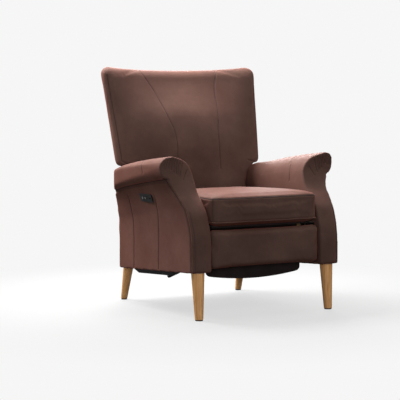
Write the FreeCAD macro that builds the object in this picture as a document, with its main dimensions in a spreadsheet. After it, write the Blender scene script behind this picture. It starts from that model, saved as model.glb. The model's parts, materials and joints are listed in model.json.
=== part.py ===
"""A power recliner with scroll arms, a winged back and tapered legs. All sizes are in millimetres.

The chair faces -Y, +Z is up and +X is to the right seen from the front.
The origin is on the floor, in the middle of the chair's plan box.
Places along Y are written as distances behind the chair's front plane.
"""
import FreeCAD, Part
import Sketcher
import math
import os
import re
from FreeCAD import Placement, Rotation, Vector

doc = FreeCAD.newDocument("Recliner")
sheet = doc.addObject("Spreadsheet::Sheet", "Dims")

DIMENSIONS = {
    "overall": {
        "depth": 835, "top_height": 1055, "soft_gap": 0.3, "fit_gap": 0.05, "layer_gap": 0.5,
    },
    "legs": {
        "front_foot_x": 324, "front_foot_back": 26, "front_top_x": 322, "front_top_back": 40,
        "front_top_height": 200, "rear_foot_x": 304, "rear_foot_back": 732, "rear_top_x": 300,
        "rear_top_back": 696, "rear_top_height": 158, "foot_radius": 17.5, "front_top_radius": 28,
        "rear_foot_radius": 14.5, "rear_top_radius": 23, "glide_thick": 5, "leg_plate_thick": 3,
        "leg_bolt_radius": 4, "leg_block_margin": 9, "leg_bolt_reach": 36, "glide_inset": 1.5,
        "front_block_half": 30, "front_block_tall": 60, "rear_block_tall": 80,
    },
    "arms": {
        "arm_inner": 273, "arm_outer": 365, "arm_bottom_front": 205, "arm_bottom_rear": 158,
        "arm_front": 9, "arm_rear": 725, "rear_corner": 85, "scroll_reach": 430, "scroll_top": 675,
        "scroll_height": 83, "roll_tall": 47.5,
        "roll_offset": 31, "scroll_front": 150, "scroll_drop": 0.165, "roll_rear": 660,
        "arm_rear_top": 490, "side_board": 14, "side_panel_margin": 10,
        "side_panel_top": 380, "rail_thick": 30, "rail_lift": 10, "post_deep": 32, "rail_rise": 60,
        "frame_front_inset": 24, "frame_rear_inset": 16, "wall_step": 12, "post_setback": 82,
        "top_rail_tall": 30, "frame_room": 6,
    },
    "seat": {
        "cushion_half": 262, "cushion_front": 10, "cushion_back": 574, "cushion_bottom": 384,
        "cushion_seam": 500, "cushion_crown": 27, "cushion_corner": 34,
        "deck_thick": 3, "frame_thick": 28, "seat_frame_front": 140, "seat_frame_back": 556,
        "seat_rail": 34, "seat_frame_inset": 18, "deck_inset": 30, "deck_setback": 20,
        "spring_wire": 2, "spring_count": 5, "spring_turn": 22, "spring_turns": 9,
        "spring_inset": 22, "spring_margin": 70, "clip_wide": 18, "clip_deep": 7, "clip_thick": 1.6,
    },
    "mechanism": {
        "steel": 3, "crank_pivot_back": 235, "crank_pivot_height": 335, "crank_length": 240,
        "crank_spacing": 80, "crank_slope": 52, "link_width": 22, "pivot_radius": 5,
        "shaft_radius": 6, "tube_radius": 11, "drive_arm_length": 70, "drive_arm_slope": 32.5,
        "side_plate_front": 60, "side_plate_back": 640, "side_plate_bottom": 300,
        "mechanism_rail_x": 300, "angle_flange": 30, "angle_front_drop": 16, "angle_rear_drop": 10,
        "rail_flange": 18, "rail_setback": 18, "rail_end_drop": 14, "rail_mid_drop": 31,
        "rail_front_slope": 60, "rail_rear_slope": 47, "pin_head": 3, "pin_head_thick": 2.5,
        "pin_end": 0.2, "shaft_end": 22,
    },
    "footrest": {
        "panel_half": 268, "panel_bottom": 208, "panel_top": 372, "panel_front": 10, "pad_thick": 46,
        "board_thick": 12, "board_half": 246, "panel_corner": 22, "panel_edge": 16,
        "footrest_pivot_back": 80, "footrest_pivot_height": 250,
        "flap_hinge_back": 100, "flap_hinge_height": 362, "flap_half": 237, "flap_bottom": 147,
        "flap_front": 104, "flap_thick": 28, "flap_bow": 20, "flap_bracket_tall": 70,
        "flap_foot": 60, "flap_board_inset": 14, "flap_board_thick": 10, "flap_board_rise": 30,
        "board_margin": 8, "bracket_low": 30, "bracket_high": 12, "bracket_foot": 26,
    },
    "back": {
        "back_hinge_back": 590, "back_hinge_height": 340, "back_lean": 14, "back_plane": 612,
        "back_low_half": 265, "back_low_front": 586, "back_low_bottom": 378, "wing_bottom": 606,
        "wing_low_half": 367, "wing_top_half": 394, "wing_low_front": 652, "wing_low_rear": 692,
        "wing_top_front": 762, "wing_top_rear": 794, "lumbar_depth": 100, "rear_bow": 40,
        "rear_bow_low": 14, "rear_tuck": 6,
        "top_dip": 20, "back_frame_thick": 18, "stile": 30, "stile_x": 255, "wing_margin": 27,
        "frame_clear": 3, "frame_drop": 56, "shelf_rise": 30, "lumbar_rail_drop": 60,
        "strap_count": 6, "strap_wide": 40, "strap_thick": 1.5, "strap_lap": 18,
        "strap_first": 60, "strap_last": 70, "hinge_arm_rise": 170, "hinge_arm_half": 15,
        "hinge_boss": 16, "hinge_head": 5, "low_corner": 24,
    },
    "rear": {
        "rear_panel_top": 360, "rear_panel_thick": 20, "rear_rail_thick": 34, "rear_rail_bottom": 186,
        "rear_rail_top": 326, "inlet_x": 170, "inlet_height": 230, "inlet_radius": 14,
        "inlet_wall": 5, "inlet_depth": 6, "inlet_proud": 5, "inlet_mouth": 7, "cloth_front": 425,
        "cloth_thick": 2,
    },
    "control": {
        "plate_back": 368, "plate_height": 488, "plate_length": 108, "plate_tall": 36,
        "plate_thick": 3, "plate_corner": 8, "plate_proud": 1.5, "housing_deep": 24, "housing_inset": 4,
        "housing_wall": 2, "button_radius": 9,
        "button_proud": 1.6, "button_first": 2, "button_second": 28, "socket_offset": -36,
        "socket_long": 14, "socket_tall": 7, "socket_deep": 8, "socket_wall": 1.2,
    },
    "actuator": {
        "rod_radius": 9, "sleeve_radius": 15, "sleeve_front": 430,
        "gearbox_front": 575, "gearbox_back": 636, "gearbox_half": 26, "motor_radius": 22,
        "motor_length": 125, "motor_drop": 48, "rod_eye_radius": 13, "drive_arm_x": 14,
        "rod_in_gearbox": 15, "gearbox_corner": 6, "lug_half": 10, "lug_tall": 12,
        "clevis_pin_back": 16, "clevis_thick": 3, "clevis_tall": 18, "clevis_foot": 30,
    },
}

row = 1
for group, sizes in DIMENSIONS.items():
    sheet.set(f"A{row}", group)
    row += 1
    for name, size in sizes.items():
        sheet.set(f"A{row}", name)
        sheet.set(f"B{row}", str(size))
        sheet.setAlias(f"B{row}", name)
        row += 1
doc.recompute()


class Sizes:
    """The sheet's values as plain numbers, for the shapes made with Part's functions."""


S = Sizes()
for sizes in DIMENSIONS.values():
    for name in sizes:
        setattr(S, name, float(sheet.get(name)))

subparts = []


def bind(piece, prop, text):
    """Bind a property to a sum of named sizes in the sheet."""
    piece.setExpression(prop, re.sub(r"[a-z_]+", lambda word: "Dims." + word.group(0), text))


def keep(piece, label):
    """Name a finished sub-part and put it on the list that is written out."""
    piece.Label = label
    subparts.append(piece)
    return piece


def box(name, x, back, z):
    """A block between two planes on each axis, each plane a sum of named sizes."""
    piece = doc.addObject("Part::Box", name)
    for side, (low, high), corner, shift in (
        ("Length", x, "x", ""),
        ("Width", back, "y", " - depth / 2"),
        ("Height", z, "z", ""),
    ):
        bind(piece, side, f"({high}) - ({low})")
        bind(piece, "Placement.Base." + corner, f"({low}){shift}")
    return piece


def bar_along(name, radius, x, back, z):
    """A round bar along Y between two planes."""
    piece = doc.addObject("Part::Cylinder", name)
    piece.Placement = Placement(Vector(), Rotation(Vector(1, 0, 0), -90))
    bind(piece, "Radius", radius)
    bind(piece, "Height", f"({back[1]}) - ({back[0]})")
    bind(piece, "Placement.Base.x", x)
    bind(piece, "Placement.Base.y", f"({back[0]}) - depth / 2")
    bind(piece, "Placement.Base.z", z)
    return piece


def cut(name, base, tool):
    rest = doc.addObject("Part::Cut", name)
    rest.Base = base
    rest.Tool = tool
    return rest


def group(name, pieces):
    """Identical loose pieces that share one node."""
    several = doc.addObject("Part::Compound", name)
    several.Links = pieces
    return several


def mirror(name, piece):
    other = doc.addObject("Part::Mirroring", name)
    other.Source = piece
    other.Normal = Vector(1, 0, 0)
    return other


def form(name, shape, place=None):
    """A shape made with Part's own functions, as an object of the document."""
    piece = doc.addObject("Part::Feature", name)
    piece.Shape = shape
    if place is not None:
        piece.Placement = place
    return piece


def at(x, back, z):
    """A point at a distance behind the chair's front plane."""
    return Vector(x, back - S.depth / 2, z)


def arc(start, middle, end):
    return Part.Arc(start, middle, end).toShape()


def line(start, end):
    return Part.LineSegment(start, end).toShape()


def loft(wires):
    return Part.makeLoft(wires, True, True)


def extruded(edges, direction):
    return Part.Face(Part.Wire(edges)).extrude(direction)


def origin_plane(body, role):
    return next(item for item in body.Origin.OriginFeatures if item.Role == role)


def link_bar(name, length, pivots, hole="pivot_radius + fit_gap"):
    """A flat bar in a YZ plane from a pivot at its origin along +Y, with a hole at each pivot."""
    body = doc.addObject("PartDesign::Body", name)
    sketch = body.newObject("Sketcher::SketchObject", name + "_outline")
    sketch.AttachmentSupport = (origin_plane(body, "YZ_Plane"), [""])
    sketch.MapMode = "FlatFace"
    half = S.link_width / 2
    reach = 100.0
    near = sketch.addGeometry(
        Part.ArcOfCircle(Part.Circle(Vector(), Vector(0, 0, 1), half), math.pi / 2, 3 * math.pi / 2)
    )
    top = sketch.addGeometry(Part.LineSegment(Vector(0, half), Vector(reach, half)))
    far = sketch.addGeometry(
        Part.ArcOfCircle(Part.Circle(Vector(reach, 0), Vector(0, 0, 1), half), -math.pi / 2, math.pi / 2)
    )
    low = sketch.addGeometry(Part.LineSegment(Vector(reach, -half), Vector(0, -half)))
    sketch.addConstraint(Sketcher.Constraint("Tangent", near, 1, top, 1))
    sketch.addConstraint(Sketcher.Constraint("Tangent", top, 2, far, 2))
    sketch.addConstraint(Sketcher.Constraint("Tangent", far, 1, low, 1))
    sketch.addConstraint(Sketcher.Constraint("Tangent", low, 2, near, 2))
    sketch.addConstraint(Sketcher.Constraint("Coincident", near, 3, -1, 1))
    sketch.addConstraint(Sketcher.Constraint("PointOnObject", far, 3, -1))
    sketch.addConstraint(Sketcher.Constraint("Equal", near, far))
    width = sketch.addConstraint(Sketcher.Constraint("Radius", near, half))
    bind(sketch, f"Constraints[{width}]", "link_width / 2")
    span = sketch.addConstraint(Sketcher.Constraint("DistanceX", -1, 1, far, 3, reach))
    bind(sketch, f"Constraints[{span}]", length)
    for place in pivots:
        ring = sketch.addGeometry(Part.Circle(Vector(reach / 3, 0), Vector(0, 0, 1), S.pivot_radius))
        if place == "0":
            sketch.addConstraint(Sketcher.Constraint("Coincident", ring, 3, -1, 1))
        else:
            sketch.addConstraint(Sketcher.Constraint("PointOnObject", ring, 3, -1))
            stand = sketch.addConstraint(Sketcher.Constraint("DistanceX", -1, 1, ring, 3, reach / 3))
            bind(sketch, f"Constraints[{stand}]", place)
        bore = sketch.addConstraint(Sketcher.Constraint("Radius", ring, S.pivot_radius))
        bind(sketch, f"Constraints[{bore}]", hole)
    pad = body.newObject("PartDesign::Pad", name + "_plate")
    pad.Profile = sketch
    bind(pad, "Length", "steel")
    return body


def turned(slope, x, back, height):
    """A placement that turns a bar by its slope about X and sets its first pivot."""
    return Placement(at(x, back, height), Rotation(Vector(1, 0, 0), slope))


def tapered_leg(name, side, end):
    """A round leg from a level foot to a level top, leaning outwards."""
    foot = at(side * getattr(S, end + "_foot_x"), getattr(S, end + "_foot_back"), S.glide_thick)
    top = at(
        side * getattr(S, end + "_top_x"),
        getattr(S, end + "_top_back"),
        getattr(S, end + "_top_height") - S.leg_plate_thick,
    )
    foot_radius = S.foot_radius if end == "front" else S.rear_foot_radius
    rings = [
        Part.Wire(Part.makeCircle(radius, centre))
        for radius, centre in ((foot_radius, foot), (getattr(S, end + "_top_radius"), top))
    ]
    return keep(form(name, loft(rings)), name)


def make_legs():
    glides = []
    plates = []
    bolts = []
    for end in ("front", "rear"):
        foot_radius = S.foot_radius if end == "front" else S.rear_foot_radius
        for word, side in (("left", -1), ("right", 1)):
            tapered_leg(f"{end}_{word}_leg", side, end)
            foot = at(side * getattr(S, end + "_foot_x"), getattr(S, end + "_foot_back"), 0)
            top = at(
                side * getattr(S, end + "_top_x"),
                getattr(S, end + "_top_back"),
                getattr(S, end + "_top_height") - S.leg_plate_thick,
            )
            glides.append(form("glide", Part.makeCylinder(foot_radius - S.glide_inset, S.glide_thick, foot)))
            radius = getattr(S, end + "_top_radius")
            plate = Part.makeCylinder(radius, S.leg_plate_thick, top)
            hole = Part.makeCylinder(S.leg_bolt_radius, S.leg_plate_thick, top)
            plates.append(form("plate", plate.cut(hole)))
            bolts.append(form("bolt", Part.makeCylinder(S.leg_bolt_radius, S.leg_bolt_reach, top)))
    keep(group("glides", glides), "leg_glides")
    keep(group("plates", plates), "leg_plates")
    keep(group("bolts", bolts), "leg_bolts")


def arm_bottom(back):
    share = (back - S.arm_front) / (S.arm_rear - S.arm_front)
    return S.arm_bottom_front + share * (S.arm_bottom_rear - S.arm_bottom_front)


def arm_section(back):
    """The right arm cut square to Y: flat inside, drawn in under a rolled scroll outside."""
    drop = S.scroll_drop * (back - S.scroll_front)
    top = S.scroll_top - drop
    under = top - S.scroll_height
    inner = S.arm_inner
    outer = S.arm_outer
    reach = S.scroll_reach
    mid = (inner + reach) / 2 + S.roll_offset
    roll = reach - mid
    tall = S.roll_tall

    def spot(x, z):
        return at(x, back, z)

    foot_in = spot(inner, arm_bottom(back))
    wall_top = spot(inner, top - 2.75 * tall)
    roll_in = spot(mid - roll - 2, top - tall)
    crest = spot(mid, top)
    roll_out = spot(reach, top - tall)
    neck = spot(outer + 0.77 * (reach - outer), under)
    waist = spot(outer + 0.14 * (reach - outer), under - 105)
    side = spot(outer, under - 185)
    foot_out = spot(outer, arm_bottom(back))
    return Part.Wire([
        line(foot_in, wall_top),
        arc(wall_top, spot(inner + 0.27 * (roll_in.x - inner), top - 1.72 * tall), roll_in),
        arc(roll_in, spot(mid - 0.72 * roll, top - 0.32 * tall), crest),
        arc(crest, spot(mid + 0.71 * roll, top - 0.29 * tall), roll_out),
        arc(roll_out, spot(reach - 2, under + 0.42 * tall), neck),
        arc(neck, spot(outer + 0.4 * (reach - outer), under - 52), waist),
        arc(waist, spot(outer + 0.03 * (reach - outer), under - 145), side),
        line(side, foot_out),
        line(foot_out, foot_in),
    ])


def arm_side_profile():
    """The arm seen from the side: an S-curved front, a sloping roll and a rounded rear."""
    front = S.arm_front
    x = S.arm_inner - 20
    low = S.arm_bottom_rear - 40
    top = S.scroll_top
    neck = S.scroll_front + 14
    rear = S.roll_rear
    high = top + 90
    shoulder = S.cushion_seam - 13

    def spot(back, z):
        return at(x, back, z)

    edges = [
        line(spot(front, low), spot(front + 2, shoulder - 135)),
        arc(spot(front + 2, shoulder - 135), spot(front + 32, shoulder - 48), spot(front + 86, shoulder)),
        arc(spot(front + 86, shoulder), spot(neck - 20, top - 137), spot(neck, top - 62)),
        arc(spot(neck, top - 62), spot(neck - 8, top - 22), spot(neck + 8, top + 8)),
        line(spot(neck + 8, top + 8), spot(neck + 20, high)),
        line(spot(neck + 20, high), spot(rear - 110, high)),
        line(spot(rear - 110, high), spot(rear - 75, top - 66)),
        arc(spot(rear - 75, top - 66), spot(rear - 24, top - 102), spot(rear, top - 160)),
        line(spot(rear, top - 160), spot(rear + 6, S.arm_rear_top)),
        line(spot(rear + 6, S.arm_rear_top), spot(S.arm_rear + 10, S.arm_rear_top - 4)),
        line(spot(S.arm_rear + 10, S.arm_rear_top - 4), spot(S.arm_rear + 10, low)),
        line(spot(S.arm_rear + 10, low), spot(front, low)),
    ]
    return extruded(edges, Vector(S.scroll_reach - S.arm_inner + 60, 0, 0))


def arm_plan_profile():
    """The arm seen from above: straight, with a rounded rear outer corner."""
    inner = S.arm_inner - 15
    wide = S.scroll_reach + 15
    rear = S.arm_rear
    corner = S.rear_corner
    side = S.arm_outer
    centre = Vector(side - corner, rear - corner, 0)
    half = corner * math.cos(math.pi / 4)

    def spot(x, back):
        return at(x, back, 0)

    edges = [
        line(spot(inner, -10), spot(wide, -10)),
        line(spot(wide, -10), spot(wide, rear - corner - 58)),
        arc(spot(wide, rear - corner - 58), spot(wide - 22, rear - corner - 14), spot(side, rear - corner)),
        arc(spot(side, rear - corner), spot(centre.x + half, centre.y + half), spot(centre.x, rear)),
        line(spot(centre.x, rear), spot(inner, rear)),
        line(spot(inner, rear), spot(inner, -10)),
    ]
    return extruded(edges, Vector(0, 0, S.top_height))


def block(x, back, z):
    """A plain block for the shapes made with Part's functions."""
    corner = at(x[0], back[0], z[0])
    return Part.makeBox(x[1] - x[0], back[1] - back[0], z[1] - z[0], corner)


def arm_frame_ends():
    """Where the arm's frame begins and ends, as distances behind the chair's front plane."""
    return S.arm_front + S.frame_front_inset, S.arm_rear - S.rear_corner + S.frame_rear_inset


def arm_timber():
    """The right arm's frame: rails, posts and the blocks that the legs bolt into."""
    inner = S.arm_inner
    outer = S.arm_outer - S.side_board
    post = S.post_deep
    first, last = arm_frame_ends()
    wall = inner + S.wall_step
    shoulder = first + S.post_setback
    under_top = S.arm_rear_top - S.top_rail_tall
    half = S.front_block_half
    rear_reach = S.rear_top_radius - S.leg_block_margin
    blocks = [
        block(
            (inner, inner + S.rail_thick),
            (first, last),
            (S.arm_bottom_front + S.rail_lift, S.arm_bottom_front + S.rail_rise),
        ),
        block((inner, outer), (first, first + post), (S.front_top_height, S.cushion_bottom + S.frame_room)),
        block((wall, outer), (shoulder, shoulder + post), (S.arm_bottom_front + S.rail_lift, under_top)),
        block((inner, outer), (last - post, last), (S.arm_bottom_rear + S.rail_thick, under_top)),
        block((wall, outer), (shoulder, last), (under_top, S.arm_rear_top)),
        block(
            (S.front_top_x - half, min(S.front_top_x + half, outer)),
            (first, S.front_top_back + half + S.rail_lift),
            (S.front_top_height, S.front_top_height + S.front_block_tall),
        ),
        block(
            (inner, S.rear_top_x + rear_reach),
            (last - post, S.rear_top_back + rear_reach),
            (S.rear_top_height, S.rear_top_height + S.rear_block_tall),
        ),
    ]
    return blocks[0].multiFuse(blocks[1:]).removeSplitter()


def drilled(timber):
    """The arm's frame with its leg bolt holes and the notch for the mechanism rail."""
    x = S.mechanism_rail_x
    notch = block(
        (x - S.steel - S.rail_flange - S.layer_gap, x + S.layer_gap),
        (S.crank_pivot_back, S.side_plate_back + 4),
        (S.arm_bottom_rear - 40, S.arm_bottom_front + S.rail_lift),
    )
    timber = timber.cut(notch)
    for end in ("front", "rear"):
        top = at(
            getattr(S, end + "_top_x"), getattr(S, end + "_top_back"),
            getattr(S, end + "_top_height") - S.leg_plate_thick,
        )
        timber = timber.cut(Part.makeCylinder(S.leg_bolt_radius, S.leg_bolt_reach, top))
    return timber


def make_arms():
    outer = loft([arm_section(-8), arm_section(S.arm_rear + 12)])
    outer = outer.common(arm_side_profile()).common(arm_plan_profile())
    timber = arm_timber()
    inner = S.arm_inner
    board = S.arm_outer - S.side_board
    first, last = arm_frame_ends()
    low = S.arm_bottom_rear - 30
    hollow = block((inner - 1, board), (first, last), (low, S.cushion_bottom + S.frame_room))
    upper = block((inner + S.wall_step, board), (first + S.post_setback, last), (low, S.arm_rear_top))
    skin = outer.cut(hollow.fuse(upper)).cut(timber)
    timber = drilled(timber)
    panel_zone = block(
        (board, max(S.arm_outer, S.scroll_reach)),
        (first, S.arm_rear - S.rear_corner - S.side_panel_margin),
        (low, S.side_panel_top),
    )
    plate_room = control_block(
        S.plate_length, S.plate_tall, -30, S.plate_thick + S.housing_deep, S.plate_corner
    )
    for word, side in (("left", -1), ("right", 1)):
        pieces = {
            "arm_frame": timber.common(inside_arm(outer, timber)),
            "outer_panel": skin.common(panel_zone),
            "arm_pad": skin.cut(panel_zone),
        }
        for label, shape in pieces.items():
            if side < 0:
                shape = shape.mirror(Vector(), Vector(1, 0, 0))
            if side < 0 and label != "outer_panel":
                shape = shape.cut(plate_room)
            keep(form(f"{word}_{label}", shape), f"{word}_{label}")


def inside_arm(outer, timber):
    """The room that the arm's timber may take: its leg blocks reach a little below the cover."""
    room = timber.BoundBox
    below = Part.makeBox(
        room.XLength, room.YLength, S.arm_bottom_front + S.rail_lift - room.ZMin,
        Vector(room.XMin, room.YMin, room.ZMin),
    )
    return outer.fuse(below.common(arm_plan_profile()))


def control_frame():
    """The control plate's own frame: its origin on the arm's outer side, +X into the arm."""
    drop = S.scroll_drop * (S.plate_back - S.scroll_front)
    under = S.scroll_top - drop - S.scroll_height
    reach = S.scroll_reach - S.arm_outer
    lower = Vector(S.arm_outer + 0.14 * reach, 0, under - 105)
    upper = Vector(S.arm_outer + 0.4 * reach, 0, under - 52)
    lean = math.degrees(math.atan2(upper.x - lower.x, upper.z - lower.z))
    out = lower.x + (S.plate_height - lower.z) / (upper.z - lower.z) * (upper.x - lower.x)
    return Placement(at(-out, S.plate_back, S.plate_height), Rotation(Vector(0, 1, 0), -lean))


def control_block(length, tall, shallow, deep, corner):
    """A round-cornered block set in the control plate's frame, between two depths."""
    block_shape = Part.makeBox(
        deep - shallow, length, tall, Vector(shallow, -length / 2, -tall / 2)
    )
    edges = [edge for edge in block_shape.Edges if abs(edge.tangentAt(edge.FirstParameter).x) > 0.9]
    block_shape = block_shape.makeFillet(corner, edges)
    block_shape.Placement = control_frame()
    return block_shape


def make_control():
    """The control on the sitter's right: a plate, two push buttons, a socket and the box behind."""
    frame = control_frame()
    button_room = S.button_radius + S.soft_gap

    def drum(radius, offset, shallow, deep):
        drum_shape = Part.makeCylinder(radius, deep - shallow, Vector(shallow, offset, 0), Vector(1, 0, 0))
        drum_shape.Placement = frame
        return drum_shape

    proud = S.plate_proud
    inset = 2 * S.housing_inset
    wall = S.housing_wall
    plate = control_block(S.plate_length, S.plate_tall, -proud, S.plate_thick - proud, S.plate_corner)
    shell = control_block(
        S.plate_length - inset, S.plate_tall - inset, S.plate_thick - proud, S.housing_deep,
        S.plate_corner - S.housing_inset,
    )
    room = control_block(
        S.plate_length - inset - 2 * wall, S.plate_tall - inset - 2 * wall,
        S.plate_thick - proud - 0.5, S.housing_deep - wall, S.plate_corner - S.housing_inset - wall,
    )
    for label, offset in (("open_button", S.button_first), ("close_button", S.button_second)):
        plate = plate.cut(drum(button_room, offset, -2 * proud, S.plate_thick))
        cap = drum(S.button_radius, offset, -S.button_proud - proud, S.plate_thick + 5)
        keep(form(label, cap), label)
    face = -proud - S.soft_gap
    long = S.socket_long
    tall = S.socket_tall
    rim = S.socket_wall
    socket_room = Part.makeBox(S.socket_deep, long, tall, Vector(face, S.socket_offset - long / 2, -tall / 2))
    mouth = Part.makeBox(
        S.socket_deep - rim, long - 2 * rim, tall - 2 * rim,
        Vector(face, S.socket_offset - long / 2 + rim, -tall / 2 + rim),
    )
    socket = socket_room.cut(mouth)
    for shape in (socket_room, socket):
        shape.Placement = frame
    keep(form("control_plate", plate.cut(socket_room)), "control_plate")
    keep(form("usb_socket", socket), "usb_socket")
    keep(form("control_housing", shell.cut(room)), "control_housing")


def make_body():
    """The rear rail and panel that join the arms, and the cloth under the seat."""
    half = "arm_inner"
    keep(
        box(
            "rear_rail",
            ("-arm_inner", half),
            ("arm_rear - rear_panel_thick - rear_rail_thick", "arm_rear - rear_panel_thick"),
            ("rear_rail_bottom", "rear_rail_top"),
        ),
        "rear_base_rail",
    )
    keep(
        cut("back_panel_holed", box(
            "back_panel_low",
            ("-arm_inner + soft_gap", "arm_inner - soft_gap"),
            ("arm_rear - rear_panel_thick", "arm_rear"),
            ("arm_bottom_rear + 4", "rear_panel_top"),
        ), bar_along(
            "inlet_hole", "inlet_radius", "-inlet_x",
            ("arm_rear - inlet_depth", "arm_rear + inlet_proud"), "inlet_height",
        )),
        "rear_panel",
    )
    keep(
        box(
            "cloth",
            ("-arm_inner + 20", "arm_inner - 20"),
            ("cloth_front", "arm_rear - rear_panel_thick"),
            ("rear_rail_bottom - cloth_thick", "rear_rail_bottom"),
        ),
        "dust_cover",
    )
    inlet = bar_along(
        "inlet_body", "inlet_radius", "-inlet_x",
        ("arm_rear - inlet_depth", "arm_rear + inlet_proud"), "inlet_height",
    )
    mouth = bar_along(
        "inlet_mouth", "inlet_radius - inlet_wall", "-inlet_x",
        ("arm_rear + inlet_proud - inlet_mouth", "arm_rear + inlet_proud + 1"), "inlet_height",
    )
    keep(cut("inlet", inlet, mouth), "power_inlet")


def arched(low, high, along):
    """A prism with an arched side: low and high are the ends of its flat side and its crest.

    low is (start, finish) of the flat side, high is (start, crest, finish) of the arched side.
    """
    start, finish = low
    first, crest, last = high
    return extruded(
        [line(start, finish), line(finish, last), arc(last, crest, first), line(first, start)], along
    )


def crowned_cushion():
    """The seat cushion: a boxed slab with round upright corners and a crown from side to side."""
    half = S.cushion_half
    front = S.cushion_front
    length = S.cushion_back - front
    bottom = S.cushion_bottom
    top = S.cushion_seam + S.cushion_crown
    slab = Part.makeBox(2 * half, length, top - bottom, at(-half, front, bottom))
    upright = [edge for edge in slab.Edges if abs(edge.tangentAt(edge.FirstParameter).z) > 0.9]
    slab = slab.makeFillet(S.cushion_corner, upright)
    crown = arched(
        (at(-half, front, bottom), at(half, front, bottom)),
        (at(-half, front, S.cushion_seam), at(0, front, top), at(half, front, S.cushion_seam)),
        Vector(0, length, 0),
    )
    return slab.common(crown)


def sinuous_spring(x, start, finish, height):
    """One zigzag wire of half-circle turns, as a single bent tube."""
    radius = (finish - start) / (4 * S.spring_turns)
    reach = S.spring_turn
    edges = []
    back = start
    side = 1
    for _ in range(int(2 * S.spring_turns)):
        edges.append(line(at(x - side * reach, back, height), at(x + side * reach, back, height)))
        edges.append(arc(
            at(x + side * reach, back, height),
            at(x + side * (reach + radius), back + radius, height),
            at(x + side * reach, back + 2 * radius, height),
        ))
        back += 2 * radius
        side = -side
    path = Part.Wire(edges)
    circle = Part.Wire(Part.makeCircle(S.spring_wire, edges[0].Vertexes[0].Point, Vector(1, 0, 0)))
    return path.makePipeShell([circle], True, False)


def make_seat():
    over = "cushion_bottom - deck_thick - 2 * soft_gap - 2 * steel"
    under = over + " - frame_thick"
    outer = box(
        "frame_block",
        ("-arm_inner + seat_frame_inset", "arm_inner - seat_frame_inset"),
        ("seat_frame_front", "seat_frame_back"),
        (under, over),
    )
    gap = box(
        "frame_gap",
        ("-arm_inner + seat_frame_inset + seat_rail", "arm_inner - seat_frame_inset - seat_rail"),
        ("seat_frame_front + seat_rail", "seat_frame_back - seat_rail"),
        (under + " - 1", over + " + 1"),
    )
    keep(cut("frame_ring", outer, gap), "seat_frame")
    top = S.cushion_bottom - S.deck_thick - 2 * S.soft_gap - 2 * S.steel
    start = S.seat_frame_front + S.spring_inset
    finish = S.seat_frame_back - S.spring_inset
    height = top + S.spring_wire
    springs = []
    clips = []
    count = int(S.spring_count)
    pitch = 2 * (S.arm_inner - S.spring_margin) / count
    for number in range(count):
        x = (number - (count - 1) / 2) * pitch
        springs.append(form("spring", sinuous_spring(x, start, finish, height)))
        for place in (start, finish):
            corner = at(x - S.clip_wide / 2, place - S.clip_deep / 2, height + S.spring_wire)
            clips.append(form("clip", Part.makeBox(S.clip_wide, S.clip_deep, S.clip_thick, corner)))
    keep(group("springs", springs), "seat_springs")
    keep(group("clips", clips), "spring_clips")
    keep(
        box(
            "felt",
            ("-arm_inner + deck_inset", "arm_inner - deck_inset"),
            ("cushion_front + deck_setback", "seat_frame_back"),
            ("cushion_bottom - soft_gap - deck_thick", "cushion_bottom - soft_gap"),
        ),
        "seat_deck",
    )
    keep(form("cushion", crowned_cushion()), "seat_cushion")


def polar(back, height, reach, slope):
    """A point at a slope below the rearward horizontal, as a distance back and a height."""
    angle = math.radians(slope)
    return back + reach * math.cos(angle), height - reach * math.sin(angle)


def link_places():
    """The linkage's pivots at rest, each as a distance back and a height."""
    rear_base = (S.crank_pivot_back, S.crank_pivot_height)
    rear_end = polar(*rear_base, S.crank_length, S.crank_slope)
    pivot = (S.footrest_pivot_back, S.footrest_pivot_height)
    rise = math.degrees(math.atan2(pivot[1] - rear_end[1], rear_end[0] - pivot[0]))
    front_base = polar(*rear_base, -S.crank_spacing, rise)
    front_end = polar(*rear_end, -S.crank_spacing, rise)
    return {
        "rear_base": rear_base,
        "rear_end": rear_end,
        "front_base": front_base,
        "front_end": front_end,
        "footrest": pivot,
        "rise": rise,
        "carrier": math.dist(rear_end, pivot),
        "flap": (S.flap_hinge_back, S.flap_hinge_height),
        "back": (S.back_hinge_back, S.back_hinge_height),
    }


def pin(spot, inside, outside, head_inside, radius, head_radius):
    """A headed pin along X on the right side; the head is on its inner end."""
    back, height = spot
    shank = Part.makeCylinder(radius, outside - inside, at(inside, back, height), Vector(1, 0, 0))
    if head_inside >= inside:
        return shank
    head = Part.makeCylinder(
        head_radius, inside - head_inside, at(head_inside, back, height), Vector(1, 0, 0)
    )
    return shank.fuse(head)


def both_sides(name, shapes):
    pieces = []
    for shape in shapes:
        pieces.append(form(name, shape))
        pieces.append(form(name, shape.mirror(Vector(), Vector(1, 0, 0))))
    return group(name + "s", pieces)


def layer(number):
    """The inner and outer planes of a plate layer, counted inwards from the arm's inner face."""
    outside = S.arm_inner - number * (S.steel + S.layer_gap)
    return outside - S.steel, outside


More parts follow.
